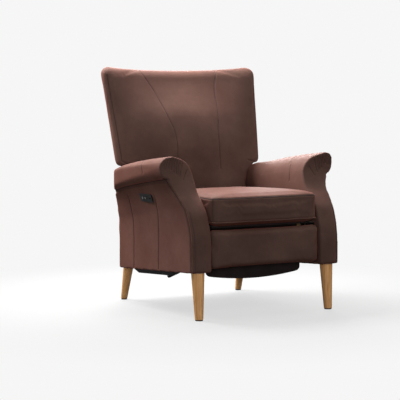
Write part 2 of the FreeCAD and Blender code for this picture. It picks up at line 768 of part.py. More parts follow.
def make_side_plates(places):
    """The steel angles on the arms' inner faces: a web with pivot holes and a flange on the frame."""
    inside, outside = layer(0)
    top = S.cushion_bottom - S.deck_thick - 2 * S.soft_gap - S.steel
    low = S.side_plate_bottom
    front_back, front_height = places["front_base"]
    corners = [
        at(inside, S.side_plate_front, top),
        at(inside, S.side_plate_front, top - S.angle_front_drop),
        at(inside, front_back - S.crank_spacing / 2, front_height - S.angle_front_drop),
        at(inside, S.crank_pivot_back - S.angle_flange, low),
        at(inside, S.side_plate_back, low),
        at(inside, S.side_plate_back, top - S.angle_rear_drop),
        at(inside, S.side_plate_back, top),
    ]
    edges = [line(corners[i], corners[(i + 1) % len(corners)]) for i in range(len(corners))]
    web = extruded(edges, Vector(S.steel, 0, 0))
    flange = block(
        (S.arm_inner - S.angle_flange, inside), (S.side_plate_front, S.seat_frame_back),
        (top - S.steel, top),
    )
    plate = web.fuse(flange)
    for spot, radius in (
        (places["front_base"], S.pivot_radius),
        (places["rear_base"], S.shaft_radius),
        (places["back"], S.shaft_radius),
    ):
        hole = Part.makeCylinder(radius + S.fit_gap, 2 * S.steel, at(inside - 1, *spot), Vector(1, 0, 0))
        plate = plate.cut(hole)
    right = form("side_angle", plate.removeSplitter())
    keep(mirror("side_angle_left", right), "left_side_plate")
    keep(right, "right_side_plate")


def make_mechanism_rails():
    """The dark pressed rails seen under the arms, bolted up to the arms' bottom rails."""
    x = S.mechanism_rail_x - S.steel
    first = S.crank_pivot_back + S.rail_setback
    last = S.side_plate_back + S.steel
    front_slope = first + S.rail_front_slope
    rear_slope = last - S.rail_rear_slope
    top = S.arm_bottom_front + S.rail_lift
    corners = [
        at(x, first, top),
        at(x, first, arm_bottom(first) - S.rail_end_drop),
        at(x, front_slope, arm_bottom(front_slope) - S.rail_mid_drop),
        at(x, rear_slope, arm_bottom(rear_slope) - S.rail_mid_drop),
        at(x, last, arm_bottom(last) - S.rail_end_drop),
        at(x, last, top),
    ]
    edges = [line(corners[i], corners[(i + 1) % len(corners)]) for i in range(len(corners))]
    web = extruded(edges, Vector(S.steel, 0, 0))
    flange = block((x - S.rail_flange, x), (first, last), (top - S.steel, top))
    keep(both_sides("low_rail", [web.fuse(flange).removeSplitter()]), "mechanism_rails")


def make_linkage(places):
    """Cranks, carriers, torque tube, drive arm and their pins."""
    crank_layer, crank_out = layer(1)
    carrier_layer, carrier_out = layer(2)
    bracket_layer, bracket_out = layer(3)
    for end, hole in (("front", "pivot_radius + fit_gap"), ("rear", "shaft_radius + fit_gap")):
        crank = link_bar(f"{end}_crank", "crank_length", ["0", "crank_length"], hole)
        crank.Placement = turned(-S.crank_slope, crank_layer, *places[end + "_base"])
        keep(mirror(f"{end}_crank_left", crank), f"left_{end}_crank")
        keep(crank, f"right_{end}_crank")
    carrier = link_bar("carrier", str(places["carrier"]), ["0", "crank_spacing", str(places["carrier"])])
    carrier.Placement = turned(180 - places["rise"], carrier_layer, *places["rear_end"])
    keep(mirror("carrier_left", carrier), "left_carrier")
    keep(carrier, "right_carrier")

    tube_half = crank_layer
    tube = Part.makeCylinder(
        S.tube_radius, 2 * tube_half, at(-tube_half, *places["rear_base"]), Vector(1, 0, 0)
    )
    bore = Part.makeCylinder(
        S.shaft_radius + S.fit_gap, 2 * tube_half, at(-tube_half, *places["rear_base"]), Vector(1, 0, 0)
    )
    keep(form("tube", tube.cut(bore)), "torque_tube")
    arm = link_bar("drive_bar", "drive_arm_length", ["drive_arm_length"])
    arm.Placement = turned(-S.drive_arm_slope, S.drive_arm_x, *places["rear_base"])
    tube_room = form("tube_room", tube)
    keep(cut("drive_bar_bored", arm, tube_room), "drive_arm")

    shaft = S.shaft_radius
    pivot = S.pivot_radius
    head = pivot + S.pin_head
    shaft_inside = crank_layer - S.shaft_end
    flap_inside = layer(4)[0] - S.soft_gap
    keep(
        both_sides("crank_pin", [
            pin(
                places["front_base"], crank_layer - S.soft_gap, S.arm_inner,
                crank_layer - S.soft_gap - S.pin_head_thick, pivot, head,
            ),
            pin(places["rear_base"], shaft_inside, S.arm_inner, shaft_inside, shaft, shaft),
        ]),
        "crank_pivot_pins",
    )
    keep(
        both_sides("carrier_pin", [
            pin(
                places[spot], carrier_layer, crank_out - S.pin_end,
                carrier_layer - S.pin_head_thick, pivot, head,
            )
            for spot in ("front_end", "rear_end")
        ]),
        "carrier_pins",
    )
    keep(
        both_sides("footrest_pin", [
            pin(
                places["footrest"], bracket_layer, carrier_out - S.pin_end,
                bracket_layer - S.pin_head_thick, pivot, head,
            ),
            pin(places["flap"], flap_inside, bracket_out, flap_inside - S.pin_head_thick, pivot, head),
        ]),
        "footrest_pins",
    )


def make_footrest(places):
    """The front panel: a board, its pad and the two brackets that hinge on the carriers."""
    front = S.panel_front
    board_front = front + S.pad_thick
    board_back = board_front + S.board_thick
    half = S.panel_half
    slab = Part.makeBox(
        2 * half, S.pad_thick, S.panel_top - S.panel_bottom, at(-half, front, S.panel_bottom)
    )
    edges = [edge for edge in slab.Edges if abs(edge.tangentAt(edge.FirstParameter).y) > 0.9]
    slab = slab.makeFillet(S.panel_corner, edges)
    rim = [edge for edge in slab.Edges if edge.BoundBox.YMax < at(0, front + 1, 0).y]
    slab = slab.makeFillet(S.panel_edge, rim)
    keep(form("panel_pad", slab), "footrest_pad")
    keep(
        box(
            "panel_board",
            ("-board_half", "board_half"),
            ("panel_front + pad_thick", "panel_front + pad_thick + board_thick"),
            ("panel_bottom + board_margin", "panel_top - board_margin"),
        ),
        "footrest_board",
    )
    inside, outside = layer(3)
    spots = (places["footrest"], places["flap"])
    reach = S.link_width / 2
    tall = (S.panel_bottom + S.bracket_low, S.panel_top - S.bracket_high)
    web = block((inside, outside), (board_front + 1, spots[0][0] + reach), tall)
    for spot in spots:
        web = web.fuse(Part.makeCylinder(reach, S.steel, at(inside, *spot), Vector(1, 0, 0)))
    foot = block((inside - S.bracket_foot, outside), (board_back, board_back + S.steel), tall)
    bracket = web.fuse(foot)
    for spot in spots:
        bracket = bracket.cut(
            Part.makeCylinder(S.pivot_radius, S.steel, at(inside, *spot), Vector(1, 0, 0))
        )
    keep(both_sides("panel_bracket", [bracket.removeSplitter()]), "footrest_brackets")


def make_flap(places):
    """The bow-shaped flap that hangs behind the panel and fills the gap when it is raised."""
    front = S.flap_front
    half = S.flap_half
    top = S.flap_hinge_height - S.board_margin
    low = S.flap_bottom
    bow = S.flap_bow
    face = front + S.flap_thick
    inset = S.flap_board_inset
    outline = [
        line(at(-half, front, low + bow), at(-half, front, top)),
        line(at(-half, front, top), at(half, front, top)),
        line(at(half, front, top), at(half, front, low + bow)),
        arc(at(half, front, low + bow), at(0, front, low), at(-half, front, low + bow)),
    ]
    whole = extruded(outline, Vector(0, S.flap_thick, 0))
    board_zone = block(
        (-half + inset, half - inset),
        (face - S.flap_board_thick, face + 1),
        (low + S.flap_board_rise, top + 1),
    )
    keep(form("flap_cover", whole.cut(board_zone)), "flap_pad")
    keep(form("flap_ply", whole.common(board_zone)), "flap_board")
    inside, outside = layer(4)
    back, height = places["flap"]
    reach = S.link_width / 2
    low_end = height - S.flap_bracket_tall
    web = block((inside, outside), (back - 2, face + S.steel), (low_end, height))
    web = web.fuse(Part.makeCylinder(reach, S.steel, at(inside, back, height), Vector(1, 0, 0)))
    web = web.cut(
        Part.makeCylinder(S.pivot_radius + S.fit_gap, S.steel, at(inside, back, height), Vector(1, 0, 0))
    )
    high_end = height - reach - S.board_margin
    foot = block((half - S.flap_foot, outside), (face, face + S.steel), (low_end, high_end))
    keep(both_sides("flap_bracket", [web.fuse(foot).removeSplitter()]), "flap_brackets")


CURVE = (
    (0.0, 0.79, 0), (0.24, 1.0, 0), (0.48, 0.86, 0), (0.675, 0.5, 0),
    (0.83, 0.19, 0), (0.92, 0.03, 0), (0.972, 0.03, 0.5), (1.0, 0.03, 1.0),
)


def back_section(share, bulge, crest):
    """The upper back cut level: bulging at the small of the back, with thin wings at its sides."""
    height = S.wing_bottom + share * (S.top_height - S.wing_bottom)
    half = S.wing_low_half + share * (S.wing_top_half - S.wing_low_half) - 5 * crest
    front = S.wing_low_front + share * (S.wing_top_front - S.wing_low_front) + 20 * crest
    rear = S.wing_low_rear + share * (S.wing_top_rear - S.wing_low_rear) - 4 * crest
    bow = S.rear_bow - 20 * crest
    inset = 6

    def spot(x, back):
        return at(x, back, height)

    return Part.Wire([
        arc(spot(-half + inset, front), spot(0, front - S.lumbar_depth * bulge), spot(half - inset, front)),
        arc(spot(half - inset, front), spot(half, (front + rear) / 2), spot(half - inset, rear)),
        arc(spot(half - inset, rear), spot(0, rear + bow), spot(-half + inset, rear)),
        arc(spot(-half + inset, rear), spot(-half, (front + rear) / 2), spot(-half + inset, front)),
    ])


def lower_back_section(height):
    """The back cut level between the arms: rounded front corners and the same bowed rear."""
    share = (height - S.wing_bottom) / (S.top_height - S.wing_bottom)
    wide = S.back_low_half
    round_off = S.low_corner
    front = S.back_low_front - 5 * (height - S.back_low_bottom) / (S.wing_bottom - S.back_low_bottom)
    edge = S.wing_low_rear + share * (S.wing_top_rear - S.wing_low_rear)
    bow = S.rear_bow_low if height < S.wing_bottom else S.rear_bow - S.rear_tuck
    rear = edge + bow
    side = edge + bow * (1 - (wide / S.wing_low_half) ** 2)
    near = wide - round_off
    slant = round_off * (1 - math.cos(math.pi / 4))

    def spot(x, back):
        return at(x, back, height)

    return Part.Wire([
        arc(spot(-near, front), spot(0, front - 7), spot(near, front)),
        arc(spot(near, front), spot(wide - slant, front + slant), spot(wide, front + round_off)),
        line(spot(wide, front + round_off), spot(wide, side)),
        arc(spot(wide, side), spot(0, rear), spot(-wide, side)),
        line(spot(-wide, side), spot(-wide, front + round_off)),
        arc(spot(-wide, front + round_off), spot(-wide + slant, front + slant), spot(-near, front)),
    ])


def back_form():
    """The whole upholstered back: the part between the arms and the winged part over them."""
    upper = loft([back_section(*values) for values in CURVE])
    half = S.wing_top_half
    dip = S.top_dip
    radius = (half * half + dip * dip) / (2 * dip)
    upper = upper.cut(Part.makeCylinder(
        radius, 400, at(0, S.wing_low_front - 100, S.top_height - dip + radius), Vector(0, 1, 0)
    ))
    lower = loft([lower_back_section(S.back_low_bottom), lower_back_section(S.wing_bottom + 60)])
    return upper.fuse(lower)


def leaning():
    """The back's own frame: its origin level with the hinge, Y rearward and Z up the lean."""
    return Placement(
        at(0, S.back_plane, S.back_hinge_height), Rotation(Vector(1, 0, 0), -S.back_lean)
    )


def leaning_block(x, deep, up):
    """A block in the leaning frame; up is a pair of heights that the lean stretches."""
    rise = [(height - S.back_hinge_height) / math.cos(math.radians(S.back_lean)) for height in up]
    shape = Part.makeBox(
        x[1] - x[0], deep[1] - deep[0], rise[1] - rise[0], Vector(x[0], deep[0], rise[0])
    )
    shape.Placement = leaning()
    return shape


def make_back(places):
    thick = S.back_frame_thick
    stile = S.stile
    edge = S.stile_x
    wing = min(S.wing_low_half, S.wing_top_half) - S.wing_margin
    low = S.back_low_bottom
    shelf = S.wing_bottom + S.shelf_rise
    top = S.top_height - S.frame_drop
    foot = low + S.frame_clear
    lumbar = shelf - S.lumbar_rail_drop
    deep = (-thick, 0)
    timber = [
        leaning_block((-edge, -edge + stile), deep, (foot, top)),
        leaning_block((edge - stile, edge), deep, (foot, top)),
        leaning_block((-wing, wing), deep, (top - stile, top)),
        leaning_block((-edge, edge), deep, (foot, foot + stile)),
        leaning_block((-edge, edge), deep, (lumbar, lumbar + stile)),
    ]
    for side in (-1, 1):
        inner, outer = sorted((side * edge, side * wing))
        timber.append(leaning_block((inner, outer), deep, (shelf, shelf + stile)))
        inner, outer = sorted((side * (wing - stile), side * wing))
        timber.append(leaning_block((inner, outer), deep, (shelf, top)))
    keep(form("back_timber", timber[0].multiFuse(timber[1:]).removeSplitter()), "back_frame")

    straps = []
    count = int(S.strap_count)
    reach = edge - stile + S.strap_lap
    for number in range(count):
        height = low + S.strap_first + number * (top - low - S.strap_first - S.strap_last) / (count - 1)
        straps.append(form("strap", leaning_block(
            (-reach, reach), (-thick - S.strap_thick, -thick), (height, height + S.strap_wide),
        )))
    keep(group("straps", straps), "back_webbing")

    back, height = places["back"]
    place = leaning()
    corners = [
        at(edge, back - S.hinge_arm_half, height),
        at(edge, back + S.hinge_arm_half, height),
        place.multVec(Vector(edge, -1, S.hinge_arm_rise)),
        place.multVec(Vector(edge, -thick + 1, S.hinge_arm_rise)),
    ]
    edges = [line(corners[i], corners[(i + 1) % len(corners)]) for i in range(len(corners))]
    whole = back_form()
    side_room = edge + S.steel + S.soft_gap
    rear_zone = leaning_block((-500, 500), (0, 200), (low - 80, top + 24))
    gap = S.soft_gap
    room_deep = (-thick - S.strap_thick - gap, 1)
    room = leaning_block((-side_room, side_room), room_deep, (low - 80, top + gap))
    wing_room = leaning_block((-wing - gap, wing + gap), room_deep, (shelf - gap, top + gap))
    slots = extruded(edges, Vector(S.steel + S.soft_gap, 0, 0))
    slots = slots.fuse(slots.mirror(Vector(), Vector(1, 0, 0)))
    cover = whole.cut(rear_zone.fuse(room).fuse(wing_room)).cut(slots)
    keep(form("back_cover", cover), "back_pad")
    keep(form("back_board", whole.common(rear_zone)), "back_outer_panel")

    web = extruded(edges, Vector(S.steel, 0, 0))
    web = web.fuse(Part.makeCylinder(S.hinge_boss, S.steel, at(edge, back, height), Vector(1, 0, 0)))
    web = web.cut(
        Part.makeCylinder(S.shaft_radius + S.fit_gap, S.steel, at(edge, back, height), Vector(1, 0, 0))
    )
    keep(both_sides("back_plate", [web.removeSplitter()]), "back_brackets")
    head = S.hinge_head
    hinge = pin(
        places["back"], edge - S.layer_gap, S.arm_inner, edge - head, S.shaft_radius, S.shaft_radius + head
    )
    keep(both_sides("back_pin", [hinge]), "back_hinge_pins")


def make_actuator(places):
    """The linear drive: it hangs on the rear rail and its rod pushes the drive arm forward."""
    back, height = polar(*places["rear_base"], S.drive_arm_length, S.drive_arm_slope)
    along = Vector(0, 1, 0)
    across = Vector(1, 0, 0)
    near = S.drive_arm_x - S.layer_gap
    rod_length = S.gearbox_front + S.rod_in_gearbox - back
    rod = Part.makeCylinder(S.rod_radius, rod_length, at(0, back, height), along)
    eye = Part.makeCylinder(S.rod_eye_radius, 2 * near, at(-near, back, height), across)
    hole = Part.makeCylinder(S.pivot_radius + S.fit_gap, 2 * near, at(-near, back, height), across)
    keep(form("rod", rod.fuse(eye).cut(hole).removeSplitter()), "actuator_rod")
    sleeve = Part.makeCylinder(
        S.sleeve_radius, S.gearbox_front - S.sleeve_front, at(0, S.sleeve_front, height), along
    )
    bore = Part.makeCylinder(
        S.rod_radius + S.fit_gap, S.gearbox_front - S.sleeve_front, at(0, S.sleeve_front, height), along
    )
    keep(form("sleeve", sleeve.cut(bore)), "actuator_tube")
    half = S.gearbox_half
    rail_face = S.arm_rear - S.rear_panel_thick - S.rear_rail_thick
    case = block(
        (-half, half), (S.gearbox_front, S.gearbox_back), (height - S.motor_drop - half, height + half)
    )
    edges = [edge for edge in case.Edges if abs(edge.tangentAt(edge.FirstParameter).y) > 0.9]
    case = case.makeFillet(S.gearbox_corner, edges)
    lug_end = rail_face - S.clevis_thick - 1
    lug_half = S.lug_half
    tall = S.lug_tall
    lug = block((-lug_half, lug_half), (S.gearbox_back, lug_end), (height - tall, height + tall))
    pin_back = rail_face - S.clevis_pin_back
    lug_hole = Part.makeCylinder(S.pivot_radius, 2 * lug_half, at(-lug_half, pin_back, height), across)
    room = Part.makeCylinder(
        S.rod_radius + 1, S.gearbox_back - 10 - S.gearbox_front, at(0, S.gearbox_front, height), along
    )
    keep(form("gearbox", case.fuse(lug).cut(lug_hole).cut(room).removeSplitter()), "actuator_gearbox")
    motor = Part.makeCylinder(
        S.motor_radius, S.motor_length, at(0, S.gearbox_front - S.motor_length, height - S.motor_drop), along
    )
    keep(form("motor", motor), "actuator_motor")
    near = lug_half + S.soft_gap
    far = near + S.clevis_thick
    high = height + S.clevis_tall
    front = pin_back - S.clevis_pin_back + 2
    cheeks = [
        block((near, far), (front, rail_face), (height - S.clevis_tall, high)),
        block((-far, -near), (front, rail_face), (height - S.clevis_tall, high)),
        block((-far, far), (rail_face - S.clevis_thick, rail_face), (height - S.clevis_foot, high)),
    ]
    pin_half = far + S.clevis_thick
    pin_bar = Part.makeCylinder(S.pivot_radius, 2 * pin_half, at(-pin_half, pin_back, height), across)
    clevis = cheeks[0].multiFuse(cheeks[1:]).removeSplitter().cut(pin_bar)
    keep(form("clevis", clevis), "actuator_bracket")
    keep(form("clevis_pin", pin_bar), "actuator_pin")


def write_parts():
    doc.recompute()
    for item in doc.Objects:
        if "Invalid" in item.State or "Error" in item.State:
            raise RuntimeError(f"{item.Label} did not build: {item.State}")
    os.makedirs("parts", exist_ok=True)
    for piece in subparts:
        shape = piece.Shape
        if shape.isNull() or not shape.isValid() or not shape.Solids:
            raise RuntimeError(f"{piece.Label} is not a valid solid")
    for piece in subparts:
        piece.Shape.exportStep(f"parts/{piece.Label}.step")
    print(len(subparts), "sub-parts written")


link = link_places()
make_legs()
make_arms()
make_control()
make_body()
make_seat()
make_side_plates(link)
make_mechanism_rails()
make_linkage(link)
make_footrest(link)
make_flap(link)
make_back(link)
make_actuator(link)
write_parts()
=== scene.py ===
"""The looks of a power recliner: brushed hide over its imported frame, on a pale studio floor.

Everything is in metres in the part's own frame: the chair faces -Y, +Z is up and the floor is z = 0.
Shapes are written in millimetres, with places along Y as distances behind the chair's front plane,
and place() turns them into the frame.
"""
import json
import math
import bpy
import numpy as np
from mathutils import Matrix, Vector
from mathutils.bvhtree import BVHTree
from mathutils.kdtree import KDTree


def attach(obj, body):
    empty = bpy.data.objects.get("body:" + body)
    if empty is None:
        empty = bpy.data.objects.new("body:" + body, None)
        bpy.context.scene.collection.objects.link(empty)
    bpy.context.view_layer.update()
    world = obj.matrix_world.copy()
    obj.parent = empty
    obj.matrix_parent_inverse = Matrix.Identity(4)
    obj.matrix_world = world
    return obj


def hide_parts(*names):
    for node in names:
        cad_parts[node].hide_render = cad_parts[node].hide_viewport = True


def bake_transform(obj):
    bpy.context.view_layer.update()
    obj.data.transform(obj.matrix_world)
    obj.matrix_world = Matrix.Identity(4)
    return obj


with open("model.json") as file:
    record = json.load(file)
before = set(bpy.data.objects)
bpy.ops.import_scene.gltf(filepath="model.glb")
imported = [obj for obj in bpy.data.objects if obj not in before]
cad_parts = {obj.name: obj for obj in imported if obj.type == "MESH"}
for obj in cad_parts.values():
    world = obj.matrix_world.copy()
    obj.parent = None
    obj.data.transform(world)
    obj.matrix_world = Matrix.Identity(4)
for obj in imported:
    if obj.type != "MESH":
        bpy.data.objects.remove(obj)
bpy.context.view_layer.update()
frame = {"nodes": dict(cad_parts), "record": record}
NODES = frame["nodes"]
scene = bpy.context.scene

FRONT_PLANE = -417.5  # the chair's front along Y, millimetres
VOXEL = 0.005  # the grain of a cover's even skin, metres
SEAM_STEP = 4  # between the points of a seam, millimetres
RAY_LEAD = 0.2  # that a seam's rays start before its points, metres
RAY_LENGTH = 0.5
SHADE_LINE_SINK = 0.8  # of its groove's depth that the dark line of painted shade lies at
CURVE_STEPS = 24  # between two given points of a curve
CLOTH_FRAMES = 20  # that a cover's filling is simulated for
SECTION_POINTS = 70  # across the front of a level ring through the back


def place(points):
    """Points of (x, distance back, z) in millimetres as an array in the frame's metres."""
    spots = np.asarray(points, float).reshape(-1, 3) / 1000
    spots[:, 1] += FRONT_PLANE / 1000
    return spots


def ease(low, high, value):
    """0 below low, 1 above high and a smooth step between them."""
    share = np.clip((np.asarray(value, float) - low) / (high - low), 0, 1)
    return share * share * (3 - 2 * share)


def between(pair, share):
    """The value that share of the way from the pair's first to its second."""
    return pair[0] + share * (pair[1] - pair[0])


def looked_up(pairs, value):
    """Reads a value off a line through (where, how much) pairs."""
    return np.interp(value, [where for where, _ in pairs], [much for _, much in pairs])


def along(points, count):
    """A smooth curve through the points, at even steps of its length."""
    spots = np.asarray(points, float)
    first = 2 * spots[0] - spots[1]
    last = 2 * spots[-1] - spots[-2]
    spots = np.vstack([first, spots, last])
    fine = []
    for i in range(1, len(spots) - 2):
        before, start, end, after = spots[i - 1:i + 3]
        share = np.linspace(0, 1, CURVE_STEPS, endpoint=False)[:, None]
        fine.append(0.5 * (
            2 * start + (end - before) * share
            + (2 * before - 5 * start + 4 * end - after) * share ** 2
            + (3 * start - before - 3 * end + after) * share ** 3
        ))
    fine = np.vstack([*fine, spots[-2][None]])
    run = np.concatenate([[0], np.cumsum(np.linalg.norm(np.diff(fine, axis=0), axis=1))])
    wanted = np.linspace(0, run[-1], count)
    return np.stack([np.interp(wanted, run, fine[:, k]) for k in range(fine.shape[1])], axis=1)


def hexed(text):
    """A web colour as the linear values that Blender's shaders take."""
    parts = [int(text[i:i + 2], 16) / 255 for i in (0, 2, 4)]
    return [c / 12.92 if c <= 0.04045 else ((c + 0.055) / 1.055) ** 2.4 for c in parts] + [1]


# Materials

def feed(tree, socket, source):
    """Gives a shader input a value, or another node's output."""
    if isinstance(source, bpy.types.NodeSocket):
        tree.links.new(source, socket)
    else:
        socket.default_value = source


def add(tree, kind, inputs=(), **settings):
    """One shader node: its settings, and its inputs as values or as other nodes' outputs."""
    node = tree.nodes.new("ShaderNode" + kind)
    for name, value in settings.items():
        setattr(node, name, value)
    for name, source in dict(inputs).items():
        feed(tree, node.inputs[name], source)
    return node


def ramp(tree, factor, stops):
    """A colour ramp from (place, web colour) pairs."""
    node = add(tree, "ValToRGB", {"Fac": factor})
    band = node.color_ramp
    for number, (spot, colour) in enumerate(stops):
        stop = band.elements[number] if number < 2 else band.elements.new(spot)
        stop.position = spot
        stop.color = hexed(colour)
    return node.outputs["Color"]


def material(name):
    """A new material, its node tree and the place of each point in metres."""
    made = bpy.data.materials.new(name)
    made.use_nodes = True
    spots = add(made.node_tree, "TexCoord").outputs["Object"]
    return made, made.node_tree, spots


def surface(tree, colour, roughness, relief=(), **more):
    """Dresses the material's shader; relief is (height, strength, depth in millimetres) layers."""
    shader = tree.nodes["Principled BSDF"]
    inputs = {"Base Color": colour, "Roughness": roughness}
    inputs.update({name.replace("_", " "): value for name, value in more.items()})
    for name, source in inputs.items():
        feed(tree, shader.inputs[name], source)
    normal = None
    for height, strength, depth in relief:
        inputs = {"Height": height, "Strength": strength, "Distance": depth / 1000}
        if normal:
            inputs["Normal"] = normal
        normal = add(tree, "Bump", inputs).outputs["Normal"]
    if normal:
        tree.links.new(normal, shader.inputs["Normal"])


def noise(tree, spots, size, detail=2.0, stretch=None):
    """Cloudy variation whose features are about size millimetres across."""
    if stretch:
        spots = add(tree, "Mapping", {"Vector": spots, "Scale": stretch}).outputs["Vector"]
    node = add(tree, "TexNoise", {"Vector": spots, "Scale": 1000 / size, "Detail": detail})
    return node.outputs["Fac"]


def spread(tree, factor, low, high):
    """A factor of 0 to 1 turned into a range of values."""
    node = add(tree, "MapRange", {"Value": factor, "To Min": low, "To Max": high})
    return node.outputs["Result"]


def blended(tree, factor, first, second, mode="MIX"):
    """Two colours, each a value or another node's output, mixed by a factor."""
    node = add(tree, "Mix", data_type="RGBA", blend_type=mode)
    sockets = [socket for socket in node.inputs if socket.type == "RGBA"]
    for source, socket in ((factor, node.inputs["Factor"]), (first, sockets[0]), (second, sockets[1])):
        feed(tree, socket, source)
    return next(socket for socket in node.outputs if socket.type == "RGBA")


def hide_leather():
    """Brushed matte hide: cloudy reddish brown, a fine pebble of pores and a soft rosy bloom."""
    made, tree, spots = material("brushed_hide")
    cloud = noise(tree, spots, 170, 4)
    tint = ramp(tree, cloud, ((0.32, "55413a"), (0.52, "5e4942"), (0.72, "695249")))
    rub = noise(tree, spots, 24, 5)
    mottled = blended(tree, spread(tree, rub, 0.0, 0.34), tint, hexed("473631"))
    pores = add(tree, "TexVoronoi", {"Vector": spots, "Scale": 1000 / 1.7}).outputs["Distance"]
    creases = noise(tree, spots, 9, 6)
    surface(
        tree, mottled, spread(tree, rub, 0.6, 0.78), ((creases, 0.22, 0.9), (pores, 0.3, 0.35)),
        Specular_IOR_Level=0.12, Specular_Tint=hexed("d98570"),
        Sheen_Weight=0.3, Sheen_Roughness=0.5, Sheen_Tint=hexed("d06a54"),
    )
    return made


def painted_groove_shade():
    """Painted shade for the bottom of a sewn groove: a dark reddish line with a fine twisted grain."""
    made, tree, spots = material("painted_groove_shade")
    twist = noise(tree, spots, 2.5, 3)
    # The dark reddish colour stands for the shade inside a seam's groove: painted shade, not a thread
    # colour.
    surface(tree, ramp(tree, twist, ((0.35, "26130f"), (0.65, "3a201b"))), 0.75, ((twist, 0.4, 0.3),))
    return made


def honey_oak():
    """Oiled oak: long honey grain lines, darker pores and a soft satin."""
    made, tree, spots = material("honey_oak")
    long_grain = noise(tree, spots, 9, 5, stretch=(1, 1, 0.07))
    fine_grain = noise(tree, spots, 1.6, 3, stretch=(1, 1, 0.03))
    tint = ramp(tree, long_grain, ((0.3, "e3a05f"), (0.5, "f4b776"), (0.7, "fbc585")))
    pores = ramp(tree, fine_grain, ((0.4, "9a6a38"), (0.52, "ffffff")))
    colour = blended(tree, 0.3, tint, pores, "MULTIPLY")
    surface(tree, colour, spread(tree, long_grain, 0.36, 0.5), ((fine_grain, 0.25, 0.3),))
    return made


def sawn_timber():
    """Planed softwood of the inner frame: pale, dry and lightly banded."""
    made, tree, spots = material("frame_timber")
    bands = noise(tree, spots, 14, 4, stretch=(1, 0.08, 1))
    surface(tree, ramp(tree, bands, ((0.3, "b08a5c"), (0.7, "d0ac7c"))), 0.8, ((bands, 0.2, 0.4),))
    return made


def woven_cloth():
    """Brown-black platform cloth: a tight plain weave with a dusty lift where it catches light."""
    made, tree, spots = material("black_cloth")
    weft, warp = (
        add(tree, "TexWave", {"Vector": spots, "Scale": 1000 / 9}, bands_direction=axis).outputs["Fac"]
        for axis in "XZ"
    )
    weave = add(tree, "Math", {0: weft, 1: warp}, operation="MULTIPLY").outputs["Value"]
    dust = noise(tree, spots, 60, 4)
    colour = ramp(tree, dust, ((0.3, "221716"), (0.7, "342525")))
    surface(tree, colour, 0.9, ((weave, 0.35, 0.3),), Sheen_Weight=0.1)
    return made


def moulded_plastic():
    """Black moulded plastic: fine spark-eroded grain, glossier in patches."""
    made, tree, spots = material("black_plastic")
    grain = noise(tree, spots, 0.7, 2)
    patch = noise(tree, spots, 30, 2)
    colour = ramp(tree, patch, ((0.3, "121213"), (0.7, "1b1a1b")))
    surface(tree, colour, spread(tree, patch, 0.38, 0.5), ((grain, 0.2, 0.1),))
    return made


def button_plastic():
    """Soft-touch button plastic, a shade lighter than its plate."""
    made, tree, spots = material("button_plastic")
    wear = noise(tree, spots, 6, 4)
    colour = ramp(tree, wear, ((0.3, "29282a"), (0.7, "343335")))
    surface(tree, colour, spread(tree, wear, 0.45, 0.6), ((wear, 0.1, 0.1),))
    return made


def pale_print():
    """The pale pad-printed symbols on the buttons."""
    made, tree, spots = material("pale_print")
    ink = noise(tree, spots, 0.8, 2)
    surface(tree, ramp(tree, ink, ((0.3, "b9b4b0"), (0.7, "dcd8d4"))), 0.5)
    return made


def coated_steel():
    """Powder-coated black steel: orange-peel skin with grey rub marks."""
    made, tree, spots = material("coated_steel")
    peel = noise(tree, spots, 1.8, 2)
    rub = noise(tree, spots, 35, 6)
    colour = ramp(tree, rub, ((0.35, "0f0f10"), (0.62, "19191a"), (0.78, "2c2b2b")))
    surface(tree, colour, spread(tree, rub, 0.35, 0.6), ((peel, 0.15, 0.15),))
    return made


def zinc_steel():
    """Zinc-plated steel: bright grey with a brushed drag and dull handling marks."""
    made, tree, spots = material("zinc_steel")
    drag = noise(tree, spots, 1.2, 3, stretch=(1, 1, 0.05))
    dull = noise(tree, spots, 20, 4)
    colour = ramp(tree, dull, ((0.3, "8f9194"), (0.7, "b4b5b8")))
    surface(tree, colour, spread(tree, drag, 0.25, 0.5), ((drag, 0.2, 0.1),), Metallic=1.0)
    return made


MATERIALS = {
    "upholstery": hide_leather(),
    "leg_wood": honey_oak(),
    "frame_timber": sawn_timber(),
    "black_cloth": woven_cloth(),
    "black_plastic": moulded_plastic(),
    "button_plastic": button_plastic(),
    "black_steel": coated_steel(),
    "zinc_steel": zinc_steel(),
}
GROOVE_SHADE = painted_groove_shade()
PRINT = pale_print()


def dress_nodes():
    """Every CAD node takes the material of its slot in the record."""
    for part in frame["record"]["subparts"]:
        slots = NODES[part["node"]].data.materials
        slots.clear()
        slots.append(MATERIALS[part["material_slot"]])


# Working on a piece's mesh

def solid(name, points, faces, finish):
    """A new piece from points in metres and faces."""
    mesh = bpy.data.meshes.new(name)
    mesh.from_pydata([tuple(p) for p in points], [], faces)
    piece = bpy.data.objects.new(name, mesh)
    scene.collection.objects.link(piece)
    mesh.materials.append(finish)
    return piece


def settle(piece):
    """Works the piece's modifiers into its mesh."""
    graph = bpy.context.evaluated_depsgraph_get()
    finish = piece.data.materials[0]
    fresh = bpy.data.meshes.new_from_object(piece.evaluated_get(graph))
    piece.modifiers.clear()
    piece.data = fresh
    fresh.materials.clear()
    fresh.materials.append(finish)
    fresh.polygons.foreach_set("use_smooth", [True] * len(fresh.polygons))


def soften(piece, rounds, voxel=VOXEL):
    """Gives the piece one even skin over everything in it, with its edges rounded off."""
    skin = piece.modifiers.new("skin", "REMESH")
    skin.mode = "VOXEL"
    skin.voxel_size = voxel
    soft = piece.modifiers.new("soft", "SMOOTH")
    soft.factor = 0.5
    soft.iterations = rounds
    settle(piece)


def vertices(piece):
    """The places of the piece's vertices in metres."""
    spots = np.empty(len(piece.data.vertices) * 3, np.float32)
    piece.data.vertices.foreach_get("co", spots)
    return spots.reshape(-1, 3).astype(float)


def move(piece, spots):
    """Puts the piece's vertices at new places."""
    piece.data.vertices.foreach_set("co", spots.astype(np.float32).ravel())
    piece.data.update()


